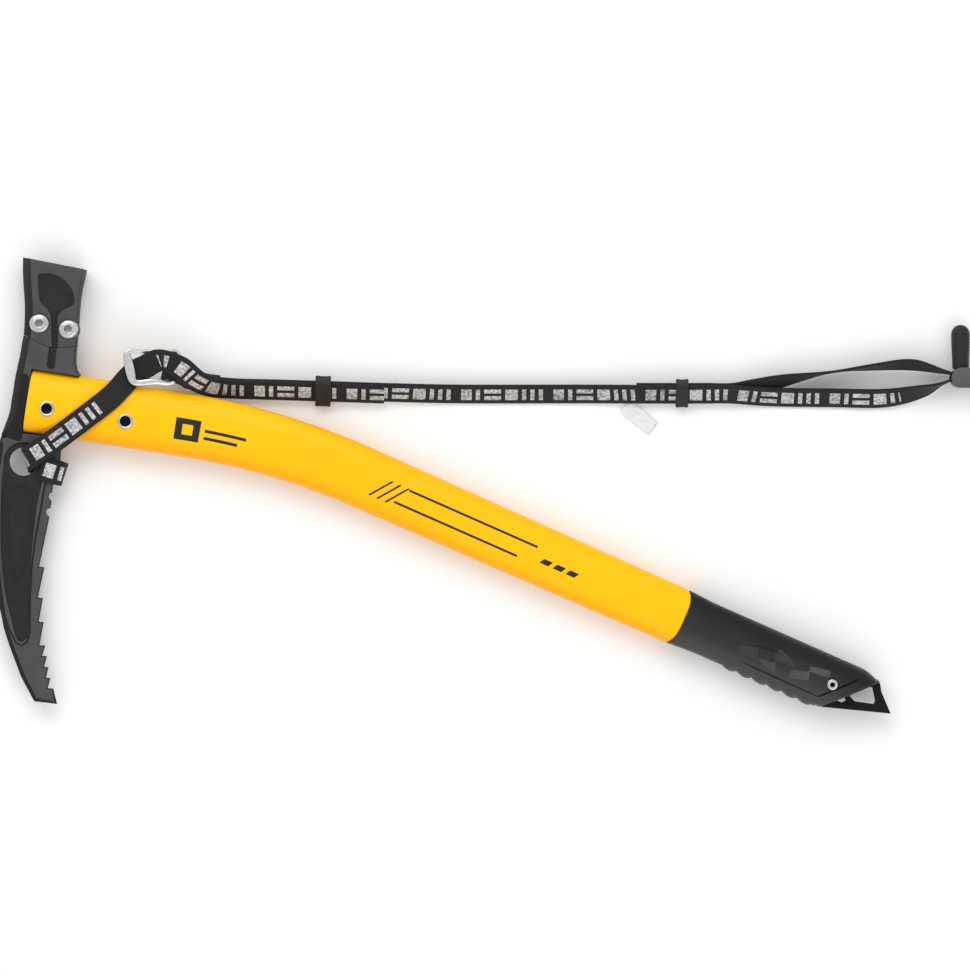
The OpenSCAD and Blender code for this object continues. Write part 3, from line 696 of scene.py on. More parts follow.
def shaft():
    """The painted tube, with its open rim at the head and its bare end inside the grip."""
    start = TUBE_START
    us = list(np.linspace(start, -BEND_LEN, 12)) + list(np.linspace(-BEND_LEN, BEND_LEN, 26)[1:])
    us += list(np.linspace(BEND_LEN, GRIP_START, 24)[1:])
    n = 96
    end_a, end_b = half_depth(GRIP_START), half_t(GRIP_START)
    rings = [tube_ring(start + 6, half_depth(0) - 1.6, half_t(start) - 1.6, n)]
    rings.append(tube_ring(start, half_depth(start) - 1.6, half_t(start) - 1.6, n))
    rings.append(tube_ring(start, half_depth(start) - 0.3, half_t(start) - 0.3, n))
    rings.append(tube_ring(start + 0.3, half_depth(start), half_t(start), n))
    rings += [tube_ring(u, half_depth(u), half_t(u), n) for u in us[1:-1]]
    rings.append(tube_ring(GRIP_START - 0.4, end_a, end_b, n, GRIP_LEAD))
    rings.append(tube_ring(GRIP_START, end_a - 0.4, end_b - 0.4, n, GRIP_LEAD))
    rings.append(tube_ring(GRIP_START + 3, end_a - 2.6, end_b - 1.6, n))
    ob = loft("shaft", rings, PAINT)
    for u in RIVETS:
        boolean(ob, cylinder("bore", head_frame(u, RIVET_V), 3.3, -5, 30, 32, PAINT))
    shade(ob, 40)
    finish_piece(ob, "axe", ["shaft_tube"])


shaft()

# ---- head and hammer

FORGED = forged_material("forged_steel", 0.062, 0.5, 0.2)
# Near-black copy of the forged paint, given to bevels, slot, groove and seam walls, holes and the tang:
# painted shade.
FORGED_SHADED = forged_material("forged_shaded", 0.014, 0.45, 0.14)
# Darker copy of the forged paint for the recesses' floors and walls: painted shade in the recesses.
FORGED_RECESS_SHADE = forged_material("forged_recess_shade", 0.02, 0.6, 0.14)

BLADE_BACK = [
    (-11.2, 14, 3), (-12.6, 10, 3), (-13.8, 5, 2.6), (-15, -2, 2.4), (-15.8, -12, 2.2), (-16.2, -22, 2.2),
    (-16.2, -32, 2.2), (-16, -42, 2.2), (-15.6, -52, 2.2), (-14.6, -62, 2.2), (-13.1, -72, 2.2),
    (-11.6, -80, 2.2), (-10.2, -87, 2.2), (-8.4, -93, 2.2), (-6.3, -99, 2.2), (-4, -105, 2.2),
    (-1.4, -112, 2.2), (1.7, -118, 2.2), (5.6, -125.3, 2),
]
TEETH = [
    (17.5, -126.7, 1), (15.5, -118.7, 0.5), (12.6, -118.5, 0.5), (14.1, -113.2, 0.5),
    (11.7, -113.1, 0.5), (13, -107.5, 0.5), (10.7, -107.4, 0.5), (12.2, -101.7, 0.5), (9.7, -101.6, 0.5),
    (11.3, -96.2, 0.5), (8.3, -96, 0.5), (10.5, -83.9, 0.5), (7.9, -83.8, 0.5), (10.1, -71.4, 0.5),
    (7.5, -71.2, 0.5), (10.9, -55.2, 0.5), (8.1, -55, 0.5), (13.2, -30.4, 0.5), (14.3, -22.7, 0.5),
    (15.3, -13.2, 0.5), (17, -9, 0.6), (18.6, -4, 0.6), (19.4, 3, 0.6), (20, 15.2, 0.6), (-4, 19, 0.5),
]
CORE_BACK = [
    (-11.8, 12.6, 1), (-13.2, 8.6, 3), (-14.3, 3.6, 3.4),
    (-15.2, -2, 3.4), (-16, -12, 3.4), (-16.4, -22, 3.4),
    (-16.4, -32, 3.4), (-16.2, -42, 3.4), (-15.8, -52, 3.4), (-14.8, -62, 3.2), (-13.3, -72, 3),
    (-11.6, -80, 2.6), (-8.6, -88, 2), (-4.5, -95.4, 1.6),
]
CORE_EDGE = [
    (-1, -97.5, 1.6), (3, -95, 1.6), (4.6, -90, 1.6), (4.8, -72, 1.6), (5.6, -56, 1.6),
    (7.4, -41, 1.6), (10, -27, 1.6), (12.6, -12, 1.6), (16.6, -2, 1.6), (17, 14.6, 1.6), (-3, 16, 1),
]
NECK_BACK = [
    (0.9, 76, 4.2), (0.8, 71, 4.2), (0.3, 66, 4.1), (-0.7, 61, 4),
    (-1.5, 56, 4), (-2.8, 50, 4), (-4.1, 44, 4),
    (-5, 38, 4), (-6, 32, 4), (-7, 26, 4), (-9, 20, 4), (-11.4, 14, 4),
]
NECK_REST = [
    (-4, 10.8, 2.6), (-0.9, 10.8, 0.6), (5, 48, 0.3), (29.6, 44, 0.5), (29.8, 45.2, 0.6),
    (28.2, 47.6, 0.6), (27.5, 51, 0.6), (27.5, 56, 0.6), (28, 60, 0.6), (28.9, 71.6, 0.8), (29.2, 76, 0.8),
]
SEAM = [(-30, 81.4), (0.3, 66), (12.5, 59.8), (18.6, 59), (28, 60), (60, 63.4)]
HAMMER_REST = [
    (-1.5, 54, 1), (26, 54, 0.6), (28, 60.8, 0.6), (28.4, 65.6, 0.7), (28.9, 71.6, 0.8), (29.3, 77.6, 0.9),
    (29.8, 83.6, 1), (30.7, 89.6, 1.1), (31.9, 95.1, 1.2), (33, 100.1, 1.2), (35, 110, 1.2),
]
HAMMER_BACK = [
    (0, 116, 4.6), (0, 106.6, 4.6), (0, 98.6, 4.6), (0.4, 90.6, 4.6), (0.9, 83.6, 4.6), (1, 77.6, 4.6),
    (0.8, 71.6, 4.2), (0.3, 66, 4.1), (-0.7, 61, 4), (-1.3, 57, 3),
]
CROWN = [(-30, 112.5), (60, 94.8)]
FAN = [
    (9.2, 83.8), (8.4, 96.2), (10, 97.8), (14, 98), (17.8, 97.2), (21, 95.4), (23.6, 93), (25.8, 90),
    (27, 86.6), (27.4, 83.4), (26.4, 81.4), (24, 80.2), (21, 78.8), (19.2, 76.6), (18.4, 73.6), (18.6, 57),
    (15.6, 57), (15, 73.6), (14.4, 77), (12.6, 80.2),
]
RECESS_SIDES = [
    (-11, -9), (-11.8, -28), (-11.4, -50), (-9.2, -69), (-6.4, -81), (-4.6, -89), (-3, -93),
    (-0.8, -94), (1.6, -92.6), (2.8, -89), (3.2, -70), (4.2, -52), (6.6, -27), (9.6, -12), (10.5, -5),
]
PILL = [
    (-7.9, -36), (-5, -56.4), (-3.6, -59.4), (-1.8, -59.5),
    (-0.2, -55.8), (2.8, -34), (4, -17.6), (2.1, -13.8),
    (-3.3, -12.2), (-7.9, -14), (-9, -17.1),
]
BOLTS = [(9, 72), (24, 69)]
HAMMER_FLARE = 0.055


def closed_spline(points, steps):
    p = [np.array(q, float) for q in points]
    n = len(p)
    return [
        tuple(catmull(p[i - 1], p[i], p[(i + 1) % n], p[(i + 2) % n], k / steps))
        for i in range(n) for k in range(steps)
    ]


def grown(points, by):
    """A closed outline moved outwards by a distance."""
    return [tuple(q) for q in inset([(*p[:2], -by) for p in points])]


def capsule(name, a, b, r, z, mats):
    """A rod with round ends from a to b, both at height z in the eye's frame."""
    ax, ay = b[0] - a[0], b[1] - a[1]
    length = math.hypot(ax, ay)
    ax, ay = ax / length, ay / length
    stops = [(-r * math.cos(q), r * math.sin(q)) for q in np.linspace(0.12, math.pi / 2, 7)]
    stops += [(length - x, q) for x, q in stops[::-1]]
    rings = []
    for x, q in stops:
        rings.append([
            (a[0] + ax * x - ay * c + EYE[0], a[1] + ay * x + ax * c + EYE[1], z + s + MID_Z)
            for c, s in circle(q, 24)
        ])
    return loft(name, rings, mats)


def cut_with(ob, cutter, operation="DIFFERENCE"):
    return boolean(ob, cutter, operation, True)


def paint_bevels(ob, limit=0.93):
    names = [m.name for m in ob.data.materials]
    if FORGED_SHADED.name not in names:
        ob.data.materials.append(FORGED_SHADED)
        names.append(FORGED_SHADED.name)
    dark, plain = names.index(FORGED_SHADED.name), names.index(FORGED.name)
    # Faces of the plain forged paint that tilt away from flat take the near-black material: painted shade
    # on bevels and sides.
    for f in ob.data.polygons:
        if f.material_index == plain and abs(f.normal.z) < limit:
            f.material_index = dark


def recess_cutter(sign):
    ring = [(10.2 * math.cos(math.radians(a)), 10.2 * math.sin(math.radians(a))) for a in range(-5, 191, 8)]
    edge = ring + [tuple(p) for p in spline(RECESS_SIDES, 3)]
    # The recess and the pill ring's walls take the darker recess material: painted shade.
    z0, z1 = (CORE_HALF - 0.8, 6) if sign > 0 else (-6, 0.8 - CORE_HALF)
    made = prism("recess", edge, z0, z1, FORGED_RECESS_SHADE)
    pill = closed_spline(PILL, 4)
    y0, y1 = (0, CORE_HALF - 0.25) if sign > 0 else (0.25 - CORE_HALF, 0)
    wall = prism("pill", grown(pill, 0.6), y0, y1, FORGED_RECESS_SHADE)
    boolean(wall, prism("pill_in", grown(pill, -0.6), -7, 7, FORGED_RECESS_SHADE))
    return boolean(made, wall)


def head():
    blade = forging("head", spline(BLADE_BACK, 3) + TEETH, 1, BLADE_HALF, FORGED)
    core = forging("core", spline(CORE_BACK, 3) + CORE_EDGE, 1.4, CORE_HALF, FORGED)
    neck = forging("neck", spline(NECK_BACK, 3) + NECK_REST, 3.2, NECK_HALF, FORGED)
    for sign in (1, -1):
        cut_with(core, recess_cutter(sign))
        # The tongue, fuller and slope cutters leave near-black walls: painted shade.
        z0, z1 = (NECK_HALF - 0.9, 12) if sign > 0 else (-12, 0.9 - NECK_HALF)
        cut_with(neck, prism("tongue", slot_outline((16.2, 61), (14.9, 50.2), 4.2), z0, z1, FORGED_SHADED))
        above = sign * (NECK_HALF + 4.25)
        cut_with(neck, capsule("fuller", (1, 43.4), (-2.2, 20.4), 5, above, FORGED_SHADED))
        slope = [(24.5, 8.1), (24.5, 40), (-30, 40), (-30, -10.2)]
        rings = [[(x, y + EYE[1], MID_Z + sign * z) for y, z in slope] for x in (-260, -190)]
        cut_with(neck, loft("slope", rings, FORGED_SHADED))
    # The seam cut leaves a near-black wall: painted shadow along the step.
    cut_with(neck, prism("seam", SEAM + [(60, 130), (-30, 130)], -20, 20, FORGED_SHADED))
    for other in (core, neck):
        cut_with(blade, other, "UNION")
    # The eye and the scallops get near-black walls: painted shade in the holes.
    cut_with(blade, cylinder("eye", EYE, 7.4, -5, 30, 64, FORGED_SHADED))
    for x, y in ((15.2, -18.3), (13.9, -26.5)):
        cut_with(blade, cylinder("scallop", (EYE[0] + x, EYE[1] + y), 2.2, -5, 30, 24, FORGED_SHADED))
    tidy(blade)
    round_edges(blade, 0.22, 2, 28)
    paint_bevels(blade)
    shade(blade, 30)
    return finish_piece(blade, "axe", ["head"])


def bore_for_bolts(ob):
    # The bores' walls take the near-black material: painted shade in the holes.
    for x, y in BOLTS:
        boolean(ob, cylinder("bore", (EYE[0] + x, EYE[1] + y), 3.1, -5, 30, 32, FORGED_SHADED))


def tang():
    """The part of the head that is inside the tube and the hammer."""
    p = [head_frame(u, v) for u, v in ((-136, -11), (-70, -11), (-70, 11), (-136, 11))]
    # Made in the near-black material: painted shade, as it sits inside the tube and the hammer.
    ob = prism("head_tang", p, -4, 4, FORGED_SHADED, (0, 0))
    pad = [head_frame(u, v) for u, v in ((-132.4, -6), (-69, -6), (-69, 6), (-132.4, 6))]
    boolean(ob, prism("pad", pad, -7.6, 7.6, FORGED_SHADED, (0, 0)), "UNION")
    tab = [(5, 50), (27, 50), (27, 78.2), (5, 78.2)]
    boolean(ob, prism("tab", tab, -2.9, 2.9, FORGED_SHADED), "UNION")
    for u in RIVETS:
        boolean(ob, cylinder("bore", head_frame(u, RIVET_V), 3.45, -5, 30, 32, FORGED_SHADED))
    bore_for_bolts(ob)
    round_edges(ob, 0.3, 2)
    shade(ob, 30)
    finish_piece(ob, "axe", ())


def hammer():
    ob = forging("hammer", HAMMER_REST + spline(HAMMER_BACK, 3), 4, NECK_HALF, FORGED, HAMMER_FLARE, 60.6)
    # The seam cut leaves a near-black wall: painted shadow along the step.
    below = [(x, y + 0.25) for x, y in SEAM[::-1]] + [(-30, 30), (60, 30)]
    cut_with(ob, prism("seam", below, -20, 20, FORGED_SHADED))
    cut_with(ob, prism("crown", [CROWN[1], (60, 140), (-30, 140), CROWN[0]], -20, 20, FORGED))
    for sign in (1, -1):
        # The fan recess takes the darker recess material: painted shade.
        fan = prism("fan", closed_spline(FAN, 2), 0, 8, FORGED_RECESS_SHADE)
        for v in fan.data.vertices:
            y = v.co.y / MM - EYE[1]
            level = NECK_HALF - 0.9 + HAMMER_FLARE * (y - 60.6)
            z = level if v.co.z / MM - MID_Z < 4 else level + 9
            v.co.z = (MID_Z + sign * z) * MM
        shade(fan)
        cut_with(ob, fan)
        for x, y in BOLTS:
            z0, z1 = (20.2, 40) if sign > 0 else (-16, 3.8)
            cut_with(ob, cylinder("seat", (EYE[0] + x, EYE[1] + y), 5.27, z0, z1, 48, FORGED))
    # The tab room's walls are near-black: painted shade.
    room = [(4.5, 40), (27.4, 40), (27.4, 78.6), (4.5, 78.6)]
    cut_with(ob, prism("tab_room", room, -3.1, 3.1, FORGED_SHADED))
    bore_for_bolts(ob)
    tidy(ob)
    round_edges(ob, 0.3, 2, 28)
    paint_bevels(ob, 0.9)
    shade(ob, 30)
    return finish_piece(ob, "axe", ["hammer"])


def lathe(name, profile, at, mid, sides, mats, flip=1):
    """Turned piece on a vertical axis: the profile runs from the top's axis to the foot's axis."""
    rings = [[(at[0] + x, at[1] + y, mid + flip * z) for x, y in circle(r, sides)] for r, z in profile]
    return loft(name, rings, mats)


BRIGHT = steel_material("bolt_steel", 0.6, 0.22)
RIVET = steel_material("rivet_steel", 0.55, 0.2)
# Dark copy of the bolt steel for the hex socket's walls and floor: painted shade in the socket.
SOCKET_SHADED = steel_material("socket_shaded_steel", 0.22, 0.4)


def bolt(i, letter):
    at = (EYE[0] + BOLTS[i][0], EYE[1] + BOLTS[i][1])
    seat = NECK_HALF + 0.2
    dome = [
        (0.02, 2.75), (2.75, 2.75), (2.95, 2.68), (3.05, 2.1), (3.25, 1.95), (3.7, 1.95),
        (4.3, 1.65), (4.85, 1.15), (5.15, 0.6), (5.2, 0.1), (5.1, 0.0),
    ]
    profile = [(r, seat + z) for r, z in dome] + [(3, seat - 0.02), (3, 0.1 - seat), (0.02, 0.1 - seat)]
    ob = lathe("bolt_" + letter, profile, at, MID_Z, 48, BRIGHT)
    # The hex socket's cut faces take the dark steel: painted shade.
    cut_with(ob, prism("hex", circle(2.3, 6, math.radians(12)), seat + 1, seat + 6, SOCKET_SHADED, at))
    tidy(ob)
    round_edges(ob, 0.12, 2, 40)
    shade(ob, 30)
    finish_piece(ob, "axe", ["hammer_bolt_" + letter])
    nut = [
        (0.02, 3.2), (1.6, 3.1), (3, 2.65), (4.2, 1.85), (4.9, 1.1), (5.18, 0.5),
        (5.2, 0.1), (5.1, 0), (0.02, 0),
    ]
    back = lathe("nut_" + letter, [(r, z + seat) for r, z in nut], at, MID_Z, 48, BRIGHT, -1)
    shade(back, 40)
    finish_piece(back, "axe", ["hammer_nut_" + letter])


def tube_rivet(name, at, reach, rim_z, rim_d, shank_d, hole_d, nodes):
    top = rim_z + 0.9
    rim = rim_d / 2
    hole = hole_d / 2
    mid_r = (rim + hole) / 2
    half = [
        (0.02, reach), (hole - 0.3, reach), (hole, reach + 0.3), (hole, top - 0.35),
        (hole + 0.12, top - 0.12),
        (mid_r - 0.15, top), (mid_r + 0.15, top), (rim - 0.3, top - 0.12), (rim - 0.06, top - 0.35),
        (rim, top - 0.6), (rim, rim_z), (shank_d / 2, rim_z - 0.02),
    ]
    ob = lathe(name, half + [(r, -z) for r, z in half[::-1]], at, MID_Z, 48, RIVET)
    # Faces inside the rivet's hole take the near-black material: painted shade in the hole.
    ob.data.materials.append(FORGED_SHADED)
    for f in ob.data.polygons:
        x, y, z = f.center / MM
        if math.hypot(x - at[0], y - at[1]) < hole + 0.05 and abs(z - MID_Z) < top - 0.3:
            f.material_index = 1
    shade(ob, 50)
    finish_piece(ob, "axe", nodes)


head()
tang()
hammer()
bolt(0, "a")
bolt(1, "b")
for u, letter in zip(RIVETS, "ab"):
    tube_rivet("rivet_" + letter, head_frame(u, RIVET_V), 5, 9.5, 8.4, 6.6, 5.5, ["head_rivet_" + letter])
PLUG = [(0.02, 9.9), (3.6, 9.9), (4.0, 9.75), (4.1, 9.5), (4.1, 8.5), (0.02, 8.5)]
plug = lathe("plug", PLUG, head_frame(-101.5, RIVET_V), MID_Z, 48, PAINT)
shade(plug, 50)
finish_piece(plug, "axe", ["shaft_plug"])

# ---- grip and spike

# The 5 makes the grip's faces turned towards -Y five times lighter: painted light on its lower side.
GRIP = rubber_material("grip_rubber", 0.011, 0.42, painted_light=5, spec=0.16)
# Darker rubber left on the walls cut by the groove, the seats and the bore: painted shade.
GRIP_GROOVE_SHADE = rubber_material("grip_groove", 0.006, 0.7)
# Lit and shaded copies of the grip rubber for the cut facets: painted light and shade.
GRIP_FACET_SHADES = [
    rubber_material("grip_facet_%d" % i, tone, 0.5, spec=0.22)
    for i, tone in enumerate((0.06, 0.034, 0.01))
]
# The 2.4 makes the cap's faces turned towards -Y lighter: painted light on its lower side.
CAP = rubber_material("plug_plastic", 0.024, 0.42, 700, 0.15, 2.4, 0.25)
SPIKE_PAINT = forged_material("spike_steel", 0.006, 0.45, 0.12)
RIB_START, RIB_PITCH, RIBS = 260.0, 8.6, 6


def slice_end(ob, gap, near):
    """Cuts a piece gap past the shaft's slanted end, keeps the near or far part and closes it."""
    turn = END_ANGLE - SLOPE_B + math.pi / 2
    normal = Vector((-math.cos(turn), -math.sin(turn), 0))
    x, y = spike_frame(END_U, 0)
    at = (Vector((x, y, MID_Z)) + normal * gap) * MM
    bm = bmesh.new()
    bm.from_mesh(ob.data)
    everything = bm.verts[:] + bm.edges[:] + bm.faces[:]
    bmesh.ops.bisect_plane(
        bm, geom=everything, plane_co=at, plane_no=normal, clear_outer=near, clear_inner=not near,
    )
    bmesh.ops.contextual_create(bm, geom=[e for e in bm.edges if e.is_boundary])
    bm.to_mesh(ob.data)
    bm.free()


def rib_swell(u):
    """How far the finger ribs stand out at u along the grip."""
    q = (u - RIB_START) / RIB_PITCH
    if q < 0 or q > RIBS:
        return 0.0
    f = q - math.floor(q)
    lobe = f / 0.62 / 2 if f < 0.62 else 0.5 + (f - 0.62) / 0.38 / 2
    return -0.8 + 1.9 * math.sin(math.pi * lobe) ** 0.75


def grip_half(u):
    s = min(1.0, max(0.0, (u - GRIP_START) / 50))
    return 9.4 + 2.6 * (3 - 2 * s) * s * s


# Flats on the grip: place along and across, the two tilts, depth, length, width.
FACETS = [
    (270, -2, 0.10, -0.06, 0.35, 12, 9),
    (281, -5, -0.08, -0.10, 0.42, 12, 8),
    (288, 3, 0.10, 0.08, 0.40, 13, 9),
    (299, -3, 0.09, -0.09, 0.42, 12, 9),
    (308, 5, -0.06, 0.12, 0.42, 12, 8),
    (277, 6, -0.09, 0.10, 0.35, 13, 8),
]
GROOVE = [(261.6, -8.65), (312.2, -9.25), (328.9, 8.0), (328.1, 8.8), (311.8, -8.35), (261.6, -7.75)]


def grip():
    n = 96

    def ribbed(u, v, z):
        if v < -7:
            share = min(1.0, (-v - 7) / 6)
            v -= rib_swell(u + 0.35 * abs(z)) * share * share
        if v > 0 and u > 327:
            v *= 1 - 0.26 * ((u - 327) / 12) ** 2
        return v, z

    rings = [tube_ring(GRIP_START - 6, 6, 4, n)]
    rings.append(tube_ring(GRIP_START + 0.1, 11, 7, n, GRIP_LEAD))
    rings.append(tube_ring(GRIP_START + 0.1, 14.6, 9.0, n, GRIP_LEAD))
    rings.append(tube_ring(GRIP_START + 0.5, 14.98, 9.4, n, GRIP_LEAD))
    u = GRIP_START + 3
    while u < 345:
        lead = GRIP_LEAD * max(0.0, 1 - (u - GRIP_START) / 20)
        half = grip_half(u)
        depth = 14.98 - 0.9 * min(1.0, (u - GRIP_START) / 12)
        rings.append(tube_ring(u, depth, half, n, lead, ribbed))
        u += 1.0
    ob = loft("grip", rings, GRIP)
    slice_end(ob, 0, True)
    for sign in (1, -1):
        for u, v, tilt_u, tilt_v, drop, long, wide in FACETS:
            corners = [
                (-long / 2, -wide / 2), (long / 2, -wide / 3), (long / 3, wide / 2), (-long / 2, wide / 4),
            ]
            top = grip_half(u) - drop
            # Each facet's cut faces take one of the lit and shaded copies: painted light and shade.
            tone = GRIP_FACET_SHADES[(u + 1) % 3]
            rings2 = []
            for h in (0, 6):
                ring = []
                for du, dv in corners:
                    cx, cy = spike_frame(u + du, v + dv)
                    z = top + (du * tilt_u + dv * tilt_v) * 0.8 + h
                    ring.append((cx, cy, MID_Z + sign * z))
                rings2.append(ring)
            cutter = loft("facet", rings2, tone)
            shade(cutter)
            cut_with(ob, cutter)
        # The groove, seats and bore leave the darker rubber on their walls: painted shade.
        band = [spike_frame(*q) for q in GROOVE]
        z0, z1 = (10.4, 16) if sign > 0 else (-16, -10.4)
        cut_with(ob, prism("groove", band, z0, z1, GRIP_GROOVE_SHADE, (0, 0)))
        sx, sy = spike_frame(316.4, 0)
        z0, z1 = (MID_Z + 11, 40) if sign > 0 else (-20, MID_Z - 11)
        cut_with(ob, cylinder("seat", (sx, sy), 3.2, z0, z1, 32, GRIP_GROOVE_SHADE))
    cut_with(ob, cylinder("bore", (sx, sy), 2.1, -20, 40, 32, GRIP_GROOVE_SHADE))
    tidy(ob)
    shade(ob, 26)
    finish_piece(ob, "axe", ["grip"])


def slanted_band(name, a, b, gap0, gap1, mats):
    """The part of the shaft's section between two slanted planes at its spike end."""
    n = 72
    drops = [(296, 0), (310, 0), (322, 0), (330, 0), (333, 0.3), (336, 0.9), (339, 2), (342, 3.4), (345, 5)]
    rings = [tube_ring(u, a - drop, b - drop, n) for u, drop in drops]
    ob = loft(name, rings, mats)
    slice_end(ob, gap1, True)
    slice_end(ob, gap0, False)
    tidy(ob)
    return ob


SPIKE = [
    (304, -6), (304, 6), (318, 8), (334, 9.6), (339.5, 10.8),
    (341.8, 7), (351, -1.6), (316.6, -12.9), (315.7, -9.6),
]
SPIKE_WINDOW = [(333.7, 5.9), (336.8, 7.2), (341, 1.3), (341, -0.6), (331.3, -3.4), (327.6, -1.8)]
SPIKE_SLOT = [(321.8, -6.7), (325.2, -3.2), (327, -4.9), (325.4, -6.6)]


def spike():
    cap = slanted_band("spike_cap", 13.4, 10.6, 0.02, 1.9, CAP)
    boolean(cap, prism("room", [spike_frame(*p) for p in SPIKE], -2.55, 2.55, CAP, (0, 0)))
    tidy(cap)
    round_edges(cap, 0.5, 3, 40)
    shade(cap, 35)
    finish_piece(cap, "axe", ["spike_plug"])
    ob = prism("spike", [spike_frame(*p) for p in SPIKE][::-1], -2.5, 2.5, SPIKE_PAINT, (0, 0))
    boolean(ob, prism("window", [spike_frame(*p) for p in SPIKE_WINDOW][::-1], -9, 9, SPIKE_PAINT, (0, 0)))
    boolean(ob, prism("slot", [spike_frame(*p) for p in SPIKE_SLOT][::-1], -9, 9, SPIKE_PAINT, (0, 0)))
    x, y = spike_frame(316.4, 0)
    boolean(ob, cylinder("bore", (x, y), 2.05, -9, 40, 24, SPIKE_PAINT))
    tidy(ob)
    round_edges(ob, 0.35, 2, 30)
    shade(ob, 30)
    finish_piece(ob, "axe", ["spike"])
    tube_rivet("rivet_c", (x, y), 6, 11, 6, 3.9, 2.4, ["spike_rivet"])


grip()
spike()

# ---- leash fittings

CHROME = steel_material("buckle_steel", 0.66, 0.16, 0.6)
TOGGLE = rubber_material("toggle_plastic", 0.09, 0.45, 900, 0.2)
FINGER = rubber_material("finger_rubber", 0.012, 0.5)
LABEL = cloth_material()


def squarer(x):
    """Pushes a circle's sine or cosine outwards, for a section with rounder corners than an oval's."""
    return math.copysign(abs(x) ** 0.7, x)


def closed_bar(name, route, profile_at, mats):
    """Sweeps a flat oval section round a closed route. Each stop is x, y, z, width, thickness."""
    pts = np.array(closed_spline(route, 6), float)
    c = pts[:, :3]
    count, n = len(c), 16
    rings = []
    for i in range(count):
        d = c[(i + 1) % count] - c[i - 1]
        d /= np.linalg.norm(d)
        side = np.cross((0, 0, 1), d)
        side /= np.linalg.norm(side)
        up = np.cross(d, side)
        w, t = pts[i, 3], pts[i, 4]
        rings.append([
            tuple(profile_at(
                c[i] + side * w / 2 * squarer(math.cos(q)) + up * t / 2 * squarer(math.sin(q))
            ))
            for q in np.linspace(0, 2 * math.pi, n, endpoint=False)
        ])
    ob = new_piece(name, [p for r in rings for p in r], hoop_faces(count, n), mats)
    shade(ob, 60)
    return ob


def buckle():
    turn = math.radians(12)
    pos = np.array([-150.6, 61.4, 19.8])

    def place(p):
        x, y, z = p
        c, s = math.cos(turn), math.sin(turn)
        return pos + np.array([x * c + z * s, y, -x * s + z * c])

    route = [
        (-12.2, 8.6, 0, 2.8, 2), (-13.2, 6.4, 0, 4, 1.9), (-12.4, 2, 0, 5, 1.7),
        (-11.3, -3.4, 0, 5, 1.7), (-10.2, -7, 0, 4, 2),
        (-7.2, -7.9, 0.1, 3.4, 2.1), (-2.6, -7.5, 0.5, 3.6, 2.1),
        (2.4, -7.2, 0.5, 3.6, 2.1), (7.6, -7.9, 0, 3.3, 2.1),
        (10.4, -7, 0, 3.4, 2), (11.7, -3, 0, 3.2, 1.9), (13, 3, 0, 3.2, 1.9),
        (13.6, 6.6, 0, 2.8, 1.9), (12.2, 8.6, 0, 2.4, 2),
        (6, 8.6, 0, 2.2, 2), (-6, 8.6, 0, 2.2, 2),
    ]
    ob = closed_bar("strap_buckle", route, place, CHROME)
    finish_piece(ob, "axe", ["buckle"])


def keeper(name, pos, angle, length, thick, node_name, body):
    w = WEB_W + 0.6 + 2 * thick
    t = WEB_T * 2 + 0.15 + 0.5 + 2 * thick
    tilt = math.atan2(0.66, 0.75)
    rings = []
    n = 40

    def rounded(hw, ht, r):
        out = []
        x, y = hw - r, ht - r
        for cx, cy, start in ((x, y, 0), (-x, y, 90), (-x, -y, 180), (x, -y, 270)):
            for k in range(n // 4):
                q = math.radians(start + 90 * k / (n // 4 - 1))
                out.append((cx + r * math.cos(q), cy + r * math.sin(q)))
        return out

    def ring_at(x, grow):
        return [(x, a, b) for a, b in rounded(w / 2 + grow, t / 2 + grow, thick + grow)]

    def bore_at(x, grow):
        room = rounded((WEB_W + 0.6) / 2 + grow, (WEB_T * 2 + 0.65) / 2 + grow, 0.35 + grow)
        return [(x, a, b) for a, b in room]

    h = length / 2
    loops = [bore_at(-h + 0.3, 0), bore_at(-h, 0.3)]
    loops += [ring_at(-h, -0.45), ring_at(-h + 0.15, -0.12), ring_at(-h + 0.45, 0)]
    loops += [ring_at(-h + 1.5, 0), ring_at(-h + 1.8, -0.18), ring_at(h - 1.8, -0.18), ring_at(h - 1.5, 0)]
    loops += [ring_at(h - 0.45, 0), ring_at(h - 0.15, -0.12), ring_at(h, -0.45)]
    loops += [bore_at(h, 0.3), bore_at(h - 0.3, 0)]
    ca, sa, ct, st = math.cos(angle), math.sin(angle), math.cos(tilt), math.sin(tilt)
    for loop in loops:
        ring = []
        for x, a, b in loop:
            y, z = a * ct - b * st, a * st + b * ct
            ring.append((pos[0] + x * ca - y * sa, pos[1] + x * sa + y * ca, pos[2] + z))
        rings.append(ring)
    faces = hoop_faces(len(rings), len(rings[0]))
    ob = new_piece(name, [p for r in rings for p in r], faces, KEEPER_RUBBER)
    tidy(ob)
    shade(ob, 45)
    finish_piece(ob, body, [node_name])


def label():
    rows = [
        (96.4, 41.6, 1.6), (98.6, 40, 1.4), (101.6, 37.6, 1.2),
        (104.8, 35, 1.1), (108.2, 32.2, 0.9), (111, 30.2, 0.7),
    ]
    route = [(list(p), (0.62, 0.78, 0.04 * math.sin(i * 1.7))) for i, p in enumerate(rows)]
    ob = strap("label_tab", route, 8, 0.45, LABEL, step=0.8)[0]
    rough = np.random.default_rng(4)
    last = len(ob.data.vertices) // 26
    jag = rough.uniform(-0.5, 0.35, 13)
    for i in range(26):
        v = ob.data.vertices[(last - 1) * 26 + i]
        k = i if i < 13 else 25 - i
        v.co.x += jag[k] * 0.8 * MM
        v.co.y -= jag[k] * 0.6 * MM
    finish_piece(ob, "axe", ["label"])


TOGGLE_Z = 8.2


